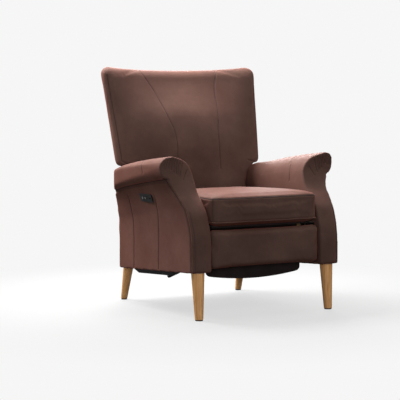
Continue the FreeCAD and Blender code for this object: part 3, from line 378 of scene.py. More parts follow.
def inflate(piece, pressure, cap):
    """Blows the piece up as a filling does its cloth cover, each point by no more than cap metres."""
    start = vertices(piece)
    cloth = piece.modifiers.new("filling", "CLOTH")
    cloth.settings.use_pressure = True
    cloth.settings.uniform_pressure_force = pressure
    cloth.settings.effector_weights.gravity = 0
    cloth.settings.quality = 5
    for step in range(1, CLOTH_FRAMES + 1):
        scene.frame_set(step)
    graph = bpy.context.evaluated_depsgraph_get()
    blown = bpy.data.meshes.new_from_object(piece.evaluated_get(graph))
    end = np.empty(len(blown.vertices) * 3, np.float32)
    blown.vertices.foreach_get("co", end)
    push = end.reshape(-1, 3) - start
    length = np.linalg.norm(push, axis=1, keepdims=True)
    push *= np.minimum(1, cap / np.maximum(length, 1e-9))
    piece.modifiers.clear()
    bpy.data.meshes.remove(blown)
    scene.frame_set(1)
    move(piece, start + push)


def refine(piece):
    """Subdivides the piece once, so that seams can be drawn in."""
    finer = piece.modifiers.new("finer", "SUBSURF")
    finer.levels = 1
    finer.render_levels = 1
    settle(piece)


def ring_mesh(rings, capped=True):
    """Points and faces of a tube through rings of equal count, with a face over each end if capped."""
    rings = np.asarray(rings)
    rows, count = rings.shape[:2]
    faces = []
    for i in range(rows - 1):
        for j in range(count):
            k = (j + 1) % count
            faces.append((i * count + j, i * count + k, (i + 1) * count + k, (i + 1) * count + j))
    if capped:
        faces.append(tuple(reversed(range(count))))
        faces.append(tuple((rows - 1) * count + j for j in range(count)))
    return rings.reshape(-1, 3), faces


def path_length(points):
    """The length of the straight lines from each point to the next."""
    spots = np.asarray(points, float)
    return float(np.linalg.norm(np.diff(spots, axis=0), axis=1).sum())


def cord(name, lines, radius, resolution, finish, closed=False):
    """Round cords along (places, share of the radius) lines, as one piece."""
    curve = bpy.data.curves.new(name, "CURVE")
    curve.dimensions = "3D"
    curve.bevel_depth = radius
    curve.bevel_resolution = resolution
    for spots, share in lines:
        spline = curve.splines.new("POLY")
        spline.points.add(len(spots) - 1)
        spline.use_cyclic_u = closed
        for point, spot in zip(spline.points, spots):
            point.co = (*spot, 1)
            point.radius = share
    curve.materials.append(finish)
    piece = bpy.data.objects.new(name, curve)
    scene.collection.objects.link(piece)
    return piece


class Seams:
    """The sewn lines of one piece: a groove pressed into it and a dark line of painted shade in its bottom.
    """

    def __init__(self, piece):
        self.piece = piece
        self.rest = vertices(piece)
        self.tree = BVHTree.FromObject(piece, bpy.context.evaluated_depsgraph_get())
        self.find = KDTree(len(self.rest))
        for number, spot in enumerate(self.rest):
            self.find.insert(spot, number)
        self.find.balance()
        self.push = np.zeros(len(self.rest))
        self.lines = []

    def traced(self, points, aim):
        """The curve through the points, dropped onto the piece along aim."""
        steps = max(4, int(path_length(points) / SEAM_STEP))
        ray = Vector(aim).normalized()
        found = []
        for spot in place(along(points, steps)):
            hit, normal, _, _ = self.tree.ray_cast(Vector(spot) - ray * RAY_LEAD, ray, RAY_LENGTH)
            if hit:
                found.append((hit, normal))
        return found

    def press(self, found, depth, width):
        """Presses a groove of that depth and half width, in millimetres, along a traced line."""
        reach = width / 1000
        nearest = {}
        for spot, _ in found:
            for _, number, gap in self.find.find_range(spot, reach):
                nearest[number] = min(gap, nearest.get(number, reach))
        for number, gap in nearest.items():
            push = depth / 1000 * (1 - (gap / reach) ** 2) ** 2
            self.push[number] = max(self.push[number], push)

    def sew(self, points, aim, depth, width, shade_width):
        """Sews along the points, seen along aim: all in millimetres, width and shade_width, the radius of
        its line of painted shade, from the middle.
        """
        found = self.traced(points, aim)
        self.press(found, depth, width)
        if len(found) > 2:
            self.lines.append(([s - n * (depth * SHADE_LINE_SINK / 1000) for s, n in found], shade_width))

    def finish(self, name, body):
        """Works the grooves in and lays their dark lines of painted shade, riding on the body."""
        normals = np.empty(len(self.rest) * 3, np.float32)
        self.piece.data.vertices.foreach_get("normal", normals)
        move(self.piece, self.rest - normals.reshape(-1, 3) * self.push[:, None])
        # These dark cords are painted shade for the bottoms of the grooves.
        shade_lines = cord(name, self.lines, 0.001, 1, GROOVE_SHADE)
        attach(shade_lines, body)


# The arms

# Their section at the front, as (place across, height): the inner side, the outer side and the roll
ARM_INNER = (
    (271.8, 198), (271.8, 330), (271.8, 430), (272.0, 520), (274, 566),
    (281, 605), (297, 635), (329, 659), (385, 675),
)
ARM_OUTER = ((365, 198), (365, 300), (365, 370), (368, 448), (375, 487), (386, 535), (398, 562), (406, 577))
ARM_ROLL = ((412, 580), (428, 600), (435, 630), (429, 654), (411, 670), (385, 675))
# Their front and rear edges seen from the side, as (distance back, height)
ARM_FRONT = along((
    (9, 190), (10, 270), (13, 330), (18, 362), (30, 399), (49, 444), (86, 487),
    (122, 521), (145, 562), (156, 600), (155, 640), (147, 662), (140, 676),
), 240)
ARM_REAR = np.array((
    (725, 190), (725, 570), (696, 582), (692, 600), (685, 622), (671, 644), (650, 662), (618, 676),
))
# How far out the arm may reach and how far its roll has fallen, each after the distance back
REAR_LIMIT = (
    (0, 470), (150, 436), (594, 425), (626, 406), (650, 382), (668, 357), (690, 338), (710, 318), (725, 285),
)
ROLL_FALL = ((0, 0), (150, 0), (300, 16), (430, 33), (535, 51), (600, 68), (650, 85), (725, 108))
ARM_SLOPE = 0.165  # of the side's top, behind LEVEL_END
LEVEL_END = 150
FOOT_SLOPE = 0.0656  # of the lower edge, behind TOE
TOE = 9
# Heights over which the lower edge's fall gives way to the side's, and that to the roll's
FOOT_BLEND = (205, 480)
ROLL_BLEND = (535, 615)
# What the inner side rises by at the rear, and over which heights, distances back and places across
REAR_FILL = 30
FILL_HEIGHTS = (530, 580)
FILL_BACK = (470, 640)
FILL_ACROSS = (300, 385)
FACING_DOME = 10
ARM_RINGS = 50
ARM_ROWS = 60  # from the foot to the crest, of which LOWER_ROWS lie below the roll
LOWER_ROWS = 36
ARM_COLUMNS = 14
# Each pleat of the scroll end, as its depth and its places across and up
PLEATS = (
    (2.6, ((414, 655), (418, 640), (417, 620))), (3.0, ((404, 661), (407, 642), (409, 622))),
    (3.4, ((394, 665), (396, 645), (396, 626))), (3.6, ((383, 667), (385, 644), (385, 619))),
    (3.6, ((373, 667), (373, 640), (373, 609))), (3.6, ((362, 664), (361, 634), (362, 602))),
    (3.2, ((348, 657), (351, 626), (355, 598))), (2.8, ((334, 642), (340, 615), (347, 590))),
)


def arm_spots(chain, share):
    """Points of an arm's section, as (x, height at the front), carried share of the way back."""
    x, level = chain[:, 0], chain[:, 1]
    front = np.interp(level, ARM_FRONT[:, 1], ARM_FRONT[:, 0])
    rear = np.interp(level, ARM_REAR[:, 1], ARM_REAR[:, 0])
    back = front + share * (rear - front)
    side_fall = ARM_SLOPE * np.maximum(0, back - LEVEL_END)
    rolled = ease(*ROLL_BLEND, level)
    top_fall = rolled * looked_up(ROLL_FALL, back) + (1 - rolled) * side_fall
    foot_fall = FOOT_SLOPE * (back - TOE)
    upper = ease(*FOOT_BLEND, level)
    height = level - (upper * top_fall + (1 - upper) * foot_fall)
    fuller = ease(*FILL_HEIGHTS, level) * ease(*FILL_BACK, back) * (1 - ease(*FILL_ACROSS, x))
    limit = looked_up(REAR_LIMIT, back)
    return np.stack([np.minimum(x, limit), back, height + REAR_FILL * fuller], axis=1)


def close_arm_end(points, faces, inner, outer, base, rear):
    """Fills one end of an arm between its inner and outer lines, slightly domed.

    base is the number of the end ring's first point.
    """
    count = 2 * ARM_ROWS + ARM_COLUMNS - 2
    grid = []
    for i in range(ARM_ROWS - 1):
        line = [base + i]
        for j in range(1, ARM_COLUMNS):
            if i == 0:
                line.append(base + count - j)
                continue
            blend = j / ARM_COLUMNS
            spot = arm_spots(between((inner[i], outer[i]), blend)[None], float(rear))[0]
            spot[1] -= FACING_DOME * math.sin(math.pi * blend) * (-1 if rear else 1)
            line.append(len(points))
            points.append(place(spot)[0])
        line.append(base + 2 * ARM_ROWS - 2 - i)
        grid.append(line)
    patch = []
    for low, high in zip(grid[:-1], grid[1:]):
        patch += [(low[j], low[j + 1], high[j + 1], high[j]) for j in range(ARM_COLUMNS)]
    top = base + ARM_ROWS - 1
    patch += [(grid[-1][j], grid[-1][j + 1], top) for j in range(ARM_COLUMNS)]
    faces += [face[::-1] for face in patch] if rear else patch


def make_arm(side):
    """One rolled arm: its outside, its facing with the pleated scroll end and its seams."""
    word = "right" if side > 0 else "left"
    inner = along(ARM_INNER, ARM_ROWS)
    outer = np.vstack([along(ARM_OUTER, LOWER_ROWS), along(ARM_ROLL, ARM_ROWS - LOWER_ROWS)])
    foot = inner[0] + (outer[0] - inner[0]) * np.linspace(1, 0, ARM_COLUMNS + 1)[1:-1, None]
    crest = inner[-1] + (outer[-1] - inner[-1]) * 0.5
    ring = np.vstack([inner[:-1], crest[None], outer[:-1][::-1], foot])
    shares = np.concatenate([[0], np.linspace(0.012, 0.988, ARM_RINGS), [1]])
    points, faces = ring_mesh([place(arm_spots(ring, share)) for share in shares], capped=False)
    points = list(points)
    close_arm_end(points, faces, inner, outer, 0, rear=False)
    close_arm_end(points, faces, inner, outer, (len(shares) - 1) * len(ring), rear=True)
    points = np.array(points)
    points[:, 0] *= side
    piece = solid(f"{word}_arm_cover", points, faces, MATERIALS["upholstery"])
    soften(piece, rounds=5)
    refine(piece)
    seams = Seams(piece)
    sew_arm(seams, side)
    seams.finish(f"{word}_arm_seam_shade", "base")
    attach(piece, "base")
    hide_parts(f"{word}_arm_pad", f"{word}_outer_panel")


def arm_spot(x, level, share=0.0):
    """One point of the arm, by its place in the section and its share of the way back."""
    return arm_spots(np.array([[x, level]], float), share)[0]


def sew_arm(seams, side):
    """The facing's border, the seam under the roll, the panels' seams and the gathered end."""
    inward, outward = (-side, 0, 0), (side, 0, 0)
    rearward, downward = (0, 1, 0), (0, 0, -1)

    def sew(points, *how):
        seams.sew([(side * x, d, z) for x, d, z in points], *how)

    border = ((366, 199), (366, 300), (366, 370), (369, 448), (375, 487), (384, 535), (397, 562), (408, 582))
    edge = [arm_spot(x, level) for x, level in border]
    sew([(x, d + 12, z) for x, d, z in edge], inward, 3, 9, 1.3)
    sew([(x - 12, d, z) for x, d, z in edge[:4]], rearward, 1.6, 6, 0.8)
    sew([arm_spot(404, 577, share) for share in np.linspace(0.0, 0.97, 8)], inward, 6, 13, 1.6)
    for low, high in (((297, 188), (299, 505)), ((520, 172), (526, 492))):
        middle = ((low[0] + high[0]) / 2 - 3, (low[1] + high[1]) / 2)
        sew([(380, d, z) for d, z in (low, middle, high)], inward, 1.6, 7, 0.9)
    sew([(298, 288, 640), (340, 325, 640), (385, 358, 640), (416, 342, 640)], downward, 1.8, 7, 0.9)
    sew([(428, 330, 638), (428, 321, 618), (428, 314, 598)], inward, 1.8, 7, 0.9)
    sew([(273, 270, 612), (273, 260, 580), (273, 257, 545)], outward, 1.6, 7, 0.9)
    sew([(308, 160, 616), (320, 160, 595), (331, 160, 576)], rearward, 2.2, 7, 0.9)
    for depth, pleat in PLEATS:
        sew([(x, 150, z) for x, z in pleat], rearward, depth, 6, 0.4)


# The back

# How far the small of the back stands out, as (share of the winged height, share of BULGE_DEPTH)
BACK_CURVE = (
    (0.0, 0.79), (0.24, 1.0), (0.48, 0.86), (0.675, 0.5), (0.83, 0.19), (0.92, 0.05), (1.0, 0.0),
)
BACK_BULGE = along(BACK_CURVE, 160)
BULGE_DEPTH = 100
WING_LOW = 606
BACK_TOP = 1055
# Each of these as its value at WING_LOW and at BACK_TOP: half the width, the distances back of the
# front and the rear, how far the wings curl forward and how far the rear's middle stands out
WING_HALF = (373, 400)
WING_FRONT = (652, 763)
WING_REAR = (692, 794)
WING_CURL = (8, 27)
REAR_CROWN = (34, 40)
# Radii of the corners and edges
TOP_CORNER = 44
FOOT_CORNER = 26
CREST_ROUND = 40
EDGE_ROUND = 26
LOW_CORNER = 14
# How far the top edge dips in its middle, over what half width and heights, in metres
TOP_DIP = 0.020
DIP_HALF = 0.394
DIP_HEIGHTS = (0.8, 1.05)
# The part between the arms, which widens in two steps towards the wings
LOW_FOOT = 379
LOW_TOP = 650
LOW_HALF = 267
LOW_WIDENING = 26
HEEL_WIDENING = 32
LOW_FRONT = 578
LOW_SETBACK = 14


def back_share(height):
    """How far up the winged part a height is, from 0 to 1."""
    return (height - WING_LOW) / (BACK_TOP - WING_LOW)


def wing_front(x, height):
    """How far back the padded front lies: full at the small of the back, with wings that curl forward."""
    share = back_share(max(height, WING_LOW))
    bulge = np.interp(share, BACK_BULGE[:, 0], BACK_BULGE[:, 1])
    side = np.abs(x) / between(WING_HALF, share)
    curl = between(WING_CURL, share) * ease(0.58, 0.97, side)
    return between(WING_FRONT, share) - BULGE_DEPTH * bulge * (1 - side ** 2) - curl


def corner_round(over, radius):
    """How far a rounded corner has drawn in, over being the way into its radius."""
    share = np.clip(over / radius, 0, 1)
    return radius * (1 - np.sqrt(1 - share * share))


def across_back(half):
    """Places across the back, closer together towards its sides."""
    return half * np.sin(np.linspace(-1, 1, SECTION_POINTS) * math.pi / 2)


def level_ring(row, near, far, height):
    """A ring at one height, along its front and then back along its rear."""
    levels = np.full(len(row), height)
    far = np.broadcast_to(far, row.shape)
    return place(np.vstack([
        np.stack([row, near, levels], axis=1), np.stack([row, far, levels], axis=1)[::-1],
    ]))


def back_ring(height):
    """The winged upper back, cut level at one height."""
    share = back_share(height)
    half = between(WING_HALF, share)
    half -= corner_round(height - (BACK_TOP - TOP_CORNER), TOP_CORNER)
    half -= corner_round(WING_LOW + FOOT_CORNER - height, FOOT_CORNER)
    row = across_back(half)
    edge = corner_round(np.abs(row) - half + EDGE_ROUND, EDGE_ROUND)
    near = wing_front(row, height) + 0.85 * edge
    far = between(WING_REAR, share) + between(REAR_CROWN, share) * (1 - (row / half) ** 2) - 0.6 * edge
    over = corner_round(height - (BACK_TOP - CREST_ROUND), CREST_ROUND) / CREST_ROUND
    thick = far - near
    return level_ring(row, near + 0.62 * over * thick, far - 0.34 * over * thick, height)


def low_back_ring(height):
    """The part of the back that stands between the arms, cut level; its top lies inside the wings."""
    half = LOW_HALF + LOW_WIDENING * ease(500, 600, height) + HEEL_WIDENING * ease(568, WING_LOW, height)
    blend = ease(400, WING_LOW, height)
    inside = 12 * ease(WING_LOW, WING_LOW + 30, height)
    row = across_back(half)
    flat = LOW_FRONT - 8 * (1 - (row / half) ** 2)
    edge = corner_round(np.abs(row) - half + LOW_CORNER, LOW_CORNER) * (1 - 0.5 * blend)
    near = flat + blend * (wing_front(row, height) - flat) + edge + inside
    return level_ring(row, near, between(WING_REAR, back_share(height)) + LOW_SETBACK, height)


def make_back():
    """The winged back: one padded form with a dipped top edge, stitched front and rear."""
    heights = np.concatenate([
        np.linspace(WING_LOW, WING_LOW + 30, 8), np.linspace(646, 1000, 24),
        BACK_TOP - CREST_ROUND * (1 - np.sin(np.linspace(0.1, 1, 12) * math.pi / 2)),
    ])
    upper, upper_faces = ring_mesh([back_ring(h) for h in heights])
    lower, lower_faces = ring_mesh([low_back_ring(h) for h in np.linspace(LOW_FOOT, LOW_TOP, 30)])
    faces = upper_faces + [tuple(len(upper) + v for v in face) for face in lower_faces]
    points = np.vstack([upper, lower])
    points[:, 2] -= TOP_DIP * (1 - (points[:, 0] / DIP_HALF) ** 2) * ease(*DIP_HEIGHTS, points[:, 2])
    piece = solid("back_cover", points, faces, MATERIALS["upholstery"])
    soften(piece, rounds=7)
    inflate(piece, pressure=1.2, cap=0.0025)
    refine(piece)
    seams = Seams(piece)
    sew_back(seams)
    seams.finish("back_seam_shade", "back")
    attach(piece, "back")
    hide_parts("back_pad", "back_outer_panel")


# The curved seam down the front on one side, as places across and up
FRONT_SEAM = (
    (200, 1040), (190, 1010), (173, 975), (159, 940), (146, 888),
    (128, 815), (114, 765), (109, 700), (110, 655), (114, 588),
)


def sew_back(seams):
    """Two curved seams down the front, the wings' bands and heels, and the seams of the rear panel."""
    rearward, forward, downward = (0, 1, 0), (0, -1, 0), (0, 0, -1)
    for side in (-1, 1):
        seams.sew([(side * x, 600, z) for x, z in FRONT_SEAM], rearward, 1.6, 6, 0.9)
        band = [(side * (358 + 27 * k), 600, 632 + 376 * k) for k in np.linspace(0, 1, 7)]
        seams.sew(band, rearward, 2.2, 7, 0.9)
        over_crest = [(side * x, d, 1000) for x, d in ((199, 776), (197, 788), (191, 806))]
        seams.sew(over_crest, downward, 1.6, 6, 0.9)
        heel = [(side * x, 600, z) for x, z in ((357, 632), (338, 621), (312, 618), (285, 622))]
        seams.sew(heel, rearward, 2.0, 7, 0.8)
        rear_edge = [(side * (348 + 27 * k), 700, 634 + 372 * k) for k in np.linspace(0, 1, 6)]
        seams.sew(rear_edge, forward, 2.4, 9, 1.0)
    rear_top = [(x, 700, 1003 + 16 * (x / 372) ** 2) for x in np.linspace(-372, 372, 9)]
    seams.sew(rear_top, forward, 2.0, 8, 1.0)


# The seat cushion

CUSHION_HALF = 266
CUSHION_FRONT = 10
CUSHION_BACK = 568
CUSHION_CORNER = 34
CUSHION_FALL = 0.016  # of its top towards the rear, metres
SEAM_HEIGHT = 500
SEAM_DEPTH = 3.0
SEAM_SINK = 0.0006  # metres that the seam's dark line of painted shade lies in, for each millimetre of its depth
ROUND_POINTS = 560  # of a line round the cushion
PIPING_HEIGHT = 402
PIPING_RADIUS = 0.0032  # in metres, as is the height it stands off the cover
PIPING_LIFT = 0.0022
# From its lower face to its upper one, as (height, how far the outline is drawn in)
CUSHION_PROFILE = (
    (384, 62), (387, 36), (393, 16), (401, 3), (422, 4), (452, 5), (482, 4), (500, 3),
    (508, 18), (515, 50), (521, 105), (525, 190),
)


def rounded_plan(half, front, back, corner, height, count=24):
    """A rounded rectangle in plan, as a ring of (x, back, z)."""
    ring = []
    centres = ((half - corner, back - corner, 0), (-half + corner, back - corner, 90),
               (-half + corner, front + corner, 180), (half - corner, front + corner, 270))
    for x, y, start in centres:
        for angle in np.radians(np.linspace(start, start + 90, count)):
            ring.append((x + corner * math.cos(angle), y + corner * math.sin(angle), height))
    return ring


def raked(points):
    """The cushion's points, in metres, with its top falling towards the rear."""
    rear = ease(CUSHION_FRONT + 170, CUSHION_BACK, points[:, 1] * 1000 - FRONT_PLANE)
    upper = np.clip((points[:, 2] * 1000 - PIPING_HEIGHT) / (SEAM_HEIGHT - PIPING_HEIGHT), 0, 1)
    points = points.copy()
    points[:, 2] -= CUSHION_FALL * rear * upper
    return points


def cushion_ring(height, inset):
    """The cushion's outline in plan at one height, drawn in by inset."""
    corner = max(8, CUSHION_CORNER - inset)
    return rounded_plan(CUSHION_HALF - inset, CUSHION_FRONT + inset, CUSHION_BACK - inset, corner, height)


def make_cushion():
    """The boxed seat cushion: a crowned top, a front band and a piped edge low down."""
    points, faces = ring_mesh([place(cushion_ring(height, inset)) for height, inset in CUSHION_PROFILE])
    piece = solid("seat_cushion_cover", raked(points), faces, MATERIALS["upholstery"])
    soften(piece, rounds=3)
    inflate(piece, pressure=4, cap=0.003)
    refine(piece)
    seams = Seams(piece)
    sew_cushion(seams)
    seams.finish("cushion_seam_shade", "base")
    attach(piece, "base")
    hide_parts("seat_cushion")


def traced_round(seams, ring):
    """The line in which the ring, drawn in towards the cushion's middle, meets its sides."""
    middle = place((0, (CUSHION_FRONT + CUSHION_BACK) / 2, 0))[0][1]
    found = []
    for spot in ring:
        aim = Vector((-spot[0], middle - spot[1], 0)).normalized()
        hit, normal, _, _ = seams.tree.ray_cast(Vector(spot), aim, 0.1)
        if hit:
            found.append((hit, normal))
    return found


def sew_cushion(seams):
    """The seam under the top with its dark line of painted shade, the piping low down and the seams of the
    front corners.
    """
    plan = rounded_plan(
        CUSHION_HALF + 8, CUSHION_FRONT - 8, CUSHION_BACK + 8, CUSHION_CORNER, SEAM_HEIGHT, count=12
    )
    ring = raked(place(along(plan + plan[:1], ROUND_POINTS)))
    found = traced_round(seams, ring)
    seams.press(found, SEAM_DEPTH, 8)
    # The dark line laid in the top seam is painted shade for its groove.
    seams.lines.append(([s - n * SEAM_DEPTH * SEAM_SINK for s, n in found], 1.6))
    ring[:, 2] = PIPING_HEIGHT / 1000
    found = traced_round(seams, ring)
    seams.press(found, 1.6, 8)
    piping(found)
    for side in (-1, 1):
        corner = [(side * (CUSHION_HALF - 10), 0, z) for z in (PIPING_HEIGHT + 4, 450, SEAM_HEIGHT - 4)]
        seams.sew(corner, (0, 1, 0), 1.4, 6, 0.7)


def piping(found):
    """A thin leather-covered cord sewn in round the cushion's lower edge."""
    spots = [spot + normal * PIPING_LIFT for spot, normal in found]
    trim = cord("cushion_piping", [(spots, 1)], PIPING_RADIUS, 2, MATERIALS["upholstery"], closed=True)
    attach(trim, "base")


# The footrest panel and its flap

# How a slab's outline is drawn in from front to back, as (share of the depth, share of the shrink)
SLAB_EDGE = ((0, 1.0), (0.06, 0.62), (0.2, 0.2), (0.45, 0), (0.9, 0), (1, 0.1))


def outline_slab(outline, front, back, shrink):
    """Rings of an upright slab whose outline is drawn in by shrink at the front."""
    spots = np.asarray(outline, float)
    middle = (spots.max(0) + spots.min(0)) / 2
    extent = (spots.max(0) - spots.min(0)) / 2
    rings = []
    for share, inset in SLAB_EDGE:
        x, z = ((spots - middle) * (1 - shrink * inset / extent) + middle).T
        level = np.full(len(spots), between((front, back), share))
        rings.append(place(np.stack([x, level, z], axis=1)))
    return rings


def make_footrest_pad():
    """The padded front panel, with rounded corners and a softly domed face."""
    half, bottom, top, corner = 269.5, 208, 372, 20
    outline = [(x, z) for x, z, _ in rounded_plan(half, bottom, top, corner, 0, count=10)]
    points, faces = ring_mesh(outline_slab(outline, front=14, back=55.5, shrink=15))
    piece = solid("footrest_cover", points, faces, MATERIALS["upholstery"])
    soften(piece, rounds=4)
    inflate(piece, pressure=3, cap=0.005)
    refine(piece)
    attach(piece, "footrest")
    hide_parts("footrest_pad")


def make_flap():
    """The dark bow-fronted flap that hangs behind the panel and fills the gap when it lifts."""
    half, top, bottom, bow = 233, 352, 147, 20
    outline = [(x, bottom + bow * (x / half) ** 2) for x in np.linspace(-half + 12, half - 12, 40)]
    outline += [(half, 176)] + [(half, z) for z in np.linspace(190, top, 8)]
    outline += [(x, top) for x in np.linspace(half - 10, -half + 10, 30)]
    outline += [(-half, z) for z in np.linspace(top, 190, 8)] + [(-half, 176)]
    points, faces = ring_mesh(outline_slab(outline, front=104.5, back=131.5, shrink=5))
    piece = solid("flap_cover", points, faces, MATERIALS["black_cloth"])
    soften(piece, rounds=3, voxel=0.004)
    refine(piece)
    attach(piece, "flap")
    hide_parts("flap_pad")


def make_rear_panel():
    """The covered board across the rear, below the back."""
    source = NODES["rear_panel"]
    piece = bpy.data.objects.new("rear_panel_cover", source.data.copy())
    scene.collection.objects.link(piece)
    piece.data.materials.clear()
    piece.data.materials.append(MATERIALS["upholstery"])
    soften(piece, rounds=4, voxel=0.004)
    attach(piece, "base")
    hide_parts("rear_panel")


# The cloths and the gusset

CLOTH_COLUMNS = 25
GUSSET_FOOT = (0, 700, 348)  # where the gusset would start to follow the back, and where it would fully; place() turns them into the frame, but nothing uses them
GUSSET_TOP = (0, 659, 379)


def cloth_grid(half, rows):
    """Points and faces of a cloth, given its rows as (distance back, height at the edge, sag between)."""
    across = np.linspace(-half, half, CLOTH_COLUMNS)
    points = [place(np.stack([
        across, np.full(CLOTH_COLUMNS, back), level - sag * (1 - (across / half) ** 2),
    ], axis=1)) for back, level, sag in rows]
    numbers = np.arange(len(rows) * CLOTH_COLUMNS).reshape(len(rows), CLOTH_COLUMNS)
    near, far = numbers[:-1], numbers[1:]
    corners = (near[:, :-1], near[:, 1:], far[:, 1:], far[:, :-1])
    return np.vstack(points), np.stack(corners, axis=2).reshape(-1, 4).tolist()


def make_cloths():
    """The deck cloth, its apron, the dust cover and the gusset between base and back."""
    deck = [(63, 374.6, 0), (62, 377.5, 0), (62.5, 381, 0), (65, 382.6, 0)]
    deck += [(d, 382.8, 0.5 * math.sin((d - 68) / 70) ** 2) for d in np.linspace(68, 556, 40)]
    apron = [(138.8, z, 0) for z in np.linspace(377, 347, 6)]
    cover = [(d, 185, 6 * math.sin(math.pi * (d - 425) / 280)) for d in np.linspace(425, 705, 24)]
    bridge = [
        (702 - 47 * t, 340 + 43 * t - 8 * math.sin(math.pi * t), 1.5 * math.sin(math.pi * t))
        for t in np.linspace(0, 1, 16)
    ]
    for name, node, half, rows, rests in (
        ("deck_cloth", "seat_deck", 243, deck, "seat_frame"),
        ("deck_apron", None, 236, apron, "seat_frame"),
        ("dust_cloth", "dust_cover", 253, cover, "rear_base_rail"),
        ("rear_gusset", None, 262, bridge, "rear_panel_cover"),
    ):
        points, faces = cloth_grid(half, rows)
        piece = solid(name, points, faces, MATERIALS["black_cloth"])
        piece.data.polygons.foreach_set("use_smooth", [True] * len(faces))
        if name == "rear_gusset":
            place(GUSSET_FOOT)[0]
            place(GUSSET_TOP)[0]
            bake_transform(piece)
        else:
            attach(piece, "base")
        if node:
            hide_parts(node)


# The printed marks, as (u towards the mark's own direction, v up the plate), millimetres

BAR = ((-4.4, -4), (-3.0, -4), (-3.0, 4), (-4.4, 4))
CHEVRON = ((-1.7, -4.2), (0.0, -4.2), (4.4, 0), (0.0, 4.2), (-1.7, 4.2), (2.6, 0))
MARK_LEVELS = (-0.0001, 0.00025)  # of its underside and face above the button, metres
PLATE_OUT = Vector((-0.952737, 0, -0.303797))
PLATE_UP = Vector((-0.303797, 0, 0.952737))


def make_marks():
    """The pale mark on each button: a chevron leaving a bar, forwards to open, rearwards to close."""
    for node, turn in (("open_button", -1), ("close_button", 1)):
        corners = [NODES[node].matrix_world @ v.co for v in NODES[node].data.vertices]
        top = max(c.dot(PLATE_OUT) for c in corners)
        flat = [c for c in corners if top - c.dot(PLATE_OUT) < 0.0001]
        across = (min(c.y for c in flat) + max(c.y for c in flat)) / 2
        height = (min(c.dot(PLATE_UP) for c in flat) + max(c.dot(PLATE_UP) for c in flat)) / 2
        middle = PLATE_OUT * top + PLATE_UP * height + Vector((0, across, 0))
        points, faces = [], []
        for outline in (BAR, CHEVRON):
            ring = [
                middle + Vector((0, turn * u, 0)) / 1000 + PLATE_UP * v / 1000 for u, v in outline[::-turn]
            ]
            spots, sides = ring_mesh([[spot + PLATE_OUT * rise for spot in ring] for rise in MARK_LEVELS])
            faces += [tuple(len(points) + v for v in face) for face in sides]
            points += [tuple(spot) for spot in spots]
        piece = solid(f"{node}_mark", points, faces, PRINT)
        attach(piece, node)


# The studio: lengths are in metres, but the camera's focal length is in millimetres

PAPER = "f6f6f6"
FLOOR_HALF = 14
SHADED_SHARE = 0.3  # of the floor's look that takes shadows, up to FADE_START metres from the middle
FADE_START = 0.7
FADE_END = 1.6
CAMERA_SPOT = (-3.4384, -5.7074, 0.9845)
CAMERA_AIM = (0.50447, 0.85985, -0.07846)
FOCAL_LENGTH = 135.7
# Each softbox as its name, its place, the place it is turned to, its size in metres and its power
SOFTBOXES = (
    ("top_light", (-0.3, 1.05, 2.5), (0.0, -0.2, 0.5), (1.8, 0.9), 132),
    ("crown_light", (0.0, -0.3, 3.0), (0.0, -0.2, 0.5), (1.2, 1.0), 16),
    ("rear_light", (1.6, 2.4, 1.8), (0, 0, 0.6), (1.6, 1.4), 120),
    ("rear_left_light", (-1.4, 2.1, 2.5), (0, 0, 0.6), (1.4, 1.2), 105),
    ("left_light", (-2.0, 0.7, 2.9), (-0.3, 0, 0.4), (0.9, 1.0), 18),
    ("right_light", (3.0, 0.0, 2.4), (0, 0, 0.5), (1.4, 1.2), 26),
    ("front_light", (1.4, -3.4, 3.0), (0, 0, 0.5), (1.4, 1.2), 44),
    ("fill_light", (-2.8, -3.8, 1.0), (0, 0, 0.4), (1.6, 1.0), 44),
)


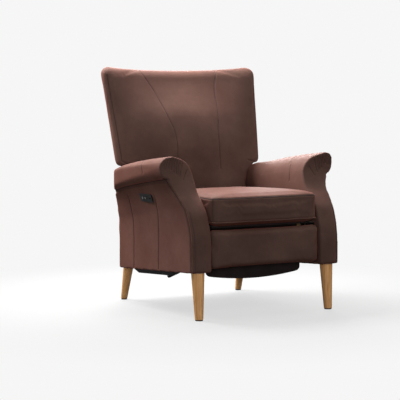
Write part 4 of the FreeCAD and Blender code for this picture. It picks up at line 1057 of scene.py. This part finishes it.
def make_floor():
    """A pale floor that fades into the backdrop and keeps the chair's soft shadow."""
    floor = bpy.data.materials.new("studio_floor")
    floor.use_nodes = True
    tree = floor.node_tree
    tree.nodes.clear()
    spots = add(tree, "TexCoord").outputs["Object"]
    away = add(tree, "VectorMath", {0: spots}, operation="LENGTH").outputs["Value"]
    fade = add(tree, "MapRange", {
        "Value": away, "From Min": FADE_START, "From Max": FADE_END, "To Min": SHADED_SHARE, "To Max": 0.0,
    }, interpolation_type="SMOOTHSTEP").outputs["Result"]
    lit = add(tree, "BsdfDiffuse", {"Color": (0.38, 0.38, 0.38, 1)}).outputs["BSDF"]
    glow = add(tree, "Emission", {"Color": hexed(PAPER), "Strength": 1.0}).outputs["Emission"]
    mixed = add(tree, "MixShader", {0: fade, 1: glow, 2: lit}).outputs["Shader"]
    plain = add(tree, "BsdfDiffuse", {"Color": (0.07, 0.07, 0.07, 1)}).outputs["BSDF"]
    camera = add(tree, "LightPath").outputs["Is Camera Ray"]
    final = add(tree, "MixShader", {0: camera, 1: plain, 2: mixed}).outputs["Shader"]
    add(tree, "OutputMaterial", {"Surface": final})
    corners = [(x * FLOOR_HALF, y * FLOOR_HALF, 0) for x, y in ((-1, -1), (1, -1), (1, 1), (-1, 1))]
    solid("studio_floor", corners, [(0, 1, 2, 3)], floor)


def make_backdrop():
    """The pale paper that the camera sees all round, with little light of its own."""
    world = bpy.data.worlds.new("studio")
    world.use_nodes = True
    scene.world = world
    tree = world.node_tree
    tree.nodes.clear()
    rays = add(tree, "LightPath").outputs
    seen = add(tree, "Math", {0: rays["Is Camera Ray"], 1: rays["Is Transmission Ray"]}, operation="MAXIMUM")
    ambient = add(tree, "Background", {"Color": hexed("f4f0ee"), "Strength": 0.1}).outputs["Background"]
    sky = add(tree, "Background", {"Color": hexed(PAPER), "Strength": 1.0}).outputs["Background"]
    mixed = add(tree, "MixShader", {0: seen.outputs["Value"], 1: ambient, 2: sky}).outputs["Shader"]
    add(tree, "OutputWorld", {"Surface": mixed})


def softbox(name, spot, target, size, power):
    """A rectangular studio light at spot, turned to target."""
    lamp = bpy.data.lights.new(name, "AREA")
    lamp.shape = "RECTANGLE"
    lamp.size, lamp.size_y = size
    lamp.energy = power
    holder = bpy.data.objects.new(name, lamp)
    holder.location = spot
    holder.rotation_euler = (Vector(target) - Vector(spot)).to_track_quat("-Z", "Y").to_euler()
    scene.collection.objects.link(holder)


def make_camera():
    """The photograph's viewpoint."""
    lens = bpy.data.cameras.new("camera")
    lens.sensor_width = 36
    lens.lens = FOCAL_LENGTH
    lens.clip_end = 60
    holder = bpy.data.objects.new("camera", lens)
    holder.location = CAMERA_SPOT
    holder.rotation_euler = Vector(CAMERA_AIM).to_track_quat("-Z", "Y").to_euler()
    scene.collection.objects.link(holder)
    scene.camera = holder


dress_nodes()
for side in (-1, 1):
    make_arm(side)
make_back()
make_cushion()
make_footrest_pad()
make_flap()
make_rear_panel()
make_cloths()
make_marks()
make_floor()
make_backdrop()
for box in SOFTBOXES:
    softbox(*box)
make_camera()
scene.view_settings.view_transform = "Standard"
